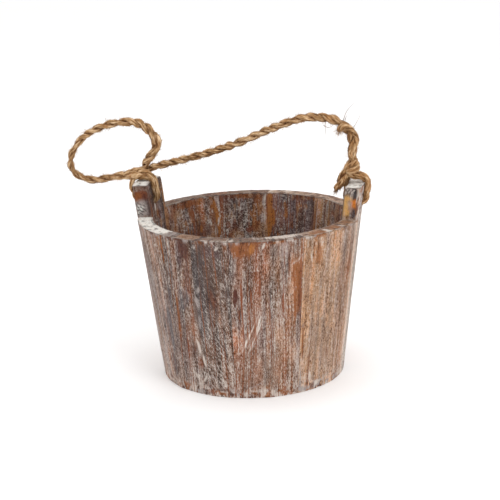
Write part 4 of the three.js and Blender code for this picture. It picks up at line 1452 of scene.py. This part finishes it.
def plank_wood(name):
    """Sawn wood: rings and pores along X, saw marks across it, and a few knots and spills."""
    finish, tree, shader = new_finish(name, roughness=0.85, specular=0.25)
    place = tree.nodes.new("ShaderNodeTexCoord").outputs["Object"]
    rings = noise_of(tree, place, (0.05, 1, 1), scale=230, detail=4)
    pores = noise_of(tree, place, (0.05, 1, 1), scale=1500, detail=3, rough=0.65)
    saw_marks = noise_of(tree, place, (1, 0.02, 1), scale=520, detail=2)
    knots = noise_of(tree, place, (0.45, 1, 1), scale=60, detail=1)
    spills = noise_of(tree, place, (0.6, 1, 1), scale=120, detail=5, rough=0.65)
    level = add_swing(tree, 0.5, rings, swing=1.3)
    level = add_swing(tree, level, pores, swing=1.6)
    level = add_swing(tree, level, saw_marks, swing=0.5)
    colour = layered(tree, saw_brown, plank_brown, step_between(tree, level, 0, 1))
    knotty = reckon(tree, "MULTIPLY", step_between(tree, knots, 0.66, 0.74), 0.7)
    colour = layered(tree, colour, knot_brown, knotty)
    wash = step_between(tree, add_swing(tree, spills, pores, 0.35), 0.56, 0.74)
    colour = layered(tree, colour, stray_wash, reckon(tree, "MULTIPLY", wash, 0.5))
    colour_and_bump(tree, shader, colour, level, strength=0.8, distance=0.0004)
    return finish


sawn_wood = plank_wood("sawn_plank_wood")
for place in ("front", "middle", "back"):
    plank = bpy.data.objects[f"bottom_plank_{place}"]
    plank.data.materials.clear()
    plank.data.materials.append(sawn_wood)


# The pins. Short turned rods of pale beech, unstained, with the short dark flecks of that wood.
# Two lie across each joint between the staves, glued into blind holes, so none of them shows.
beech_shade = (0.420, 0.255, 0.145, 1)
beech_light = (0.560, 0.385, 0.235, 1)
beech_fleck = (0.200, 0.095, 0.048, 1)


def pin_wood(name):
    """Pale beech with slow changes of tone and short dark flecks."""
    finish, tree, shader = new_finish(name, roughness=0.6)
    place = tree.nodes.new("ShaderNodeTexCoord").outputs["Object"]
    tone = noise_of(tree, place, (1, 1, 1), scale=400, detail=2)
    flecks = noise_of(tree, place, (1, 1, 1), scale=2600, detail=1)
    colour = layered(tree, beech_shade, beech_light, step_between(tree, tone, 0.35, 0.65))
    dark = reckon(tree, "MULTIPLY", step_between(tree, flecks, 0.60, 0.72), 0.6)
    colour = layered(tree, colour, beech_fleck, dark)
    colour_and_bump(tree, shader, colour, flecks, strength=0.4, distance=0.0001)
    return finish


turned_beech = pin_wood("turned_beech")
for joint in range(1, 11):
    for row in ("lower", "upper"):
        pin = bpy.data.objects[f"stave_pin_{joint}_{row}"]
        pin.data.materials.clear()
        pin.data.materials.append(turned_beech)
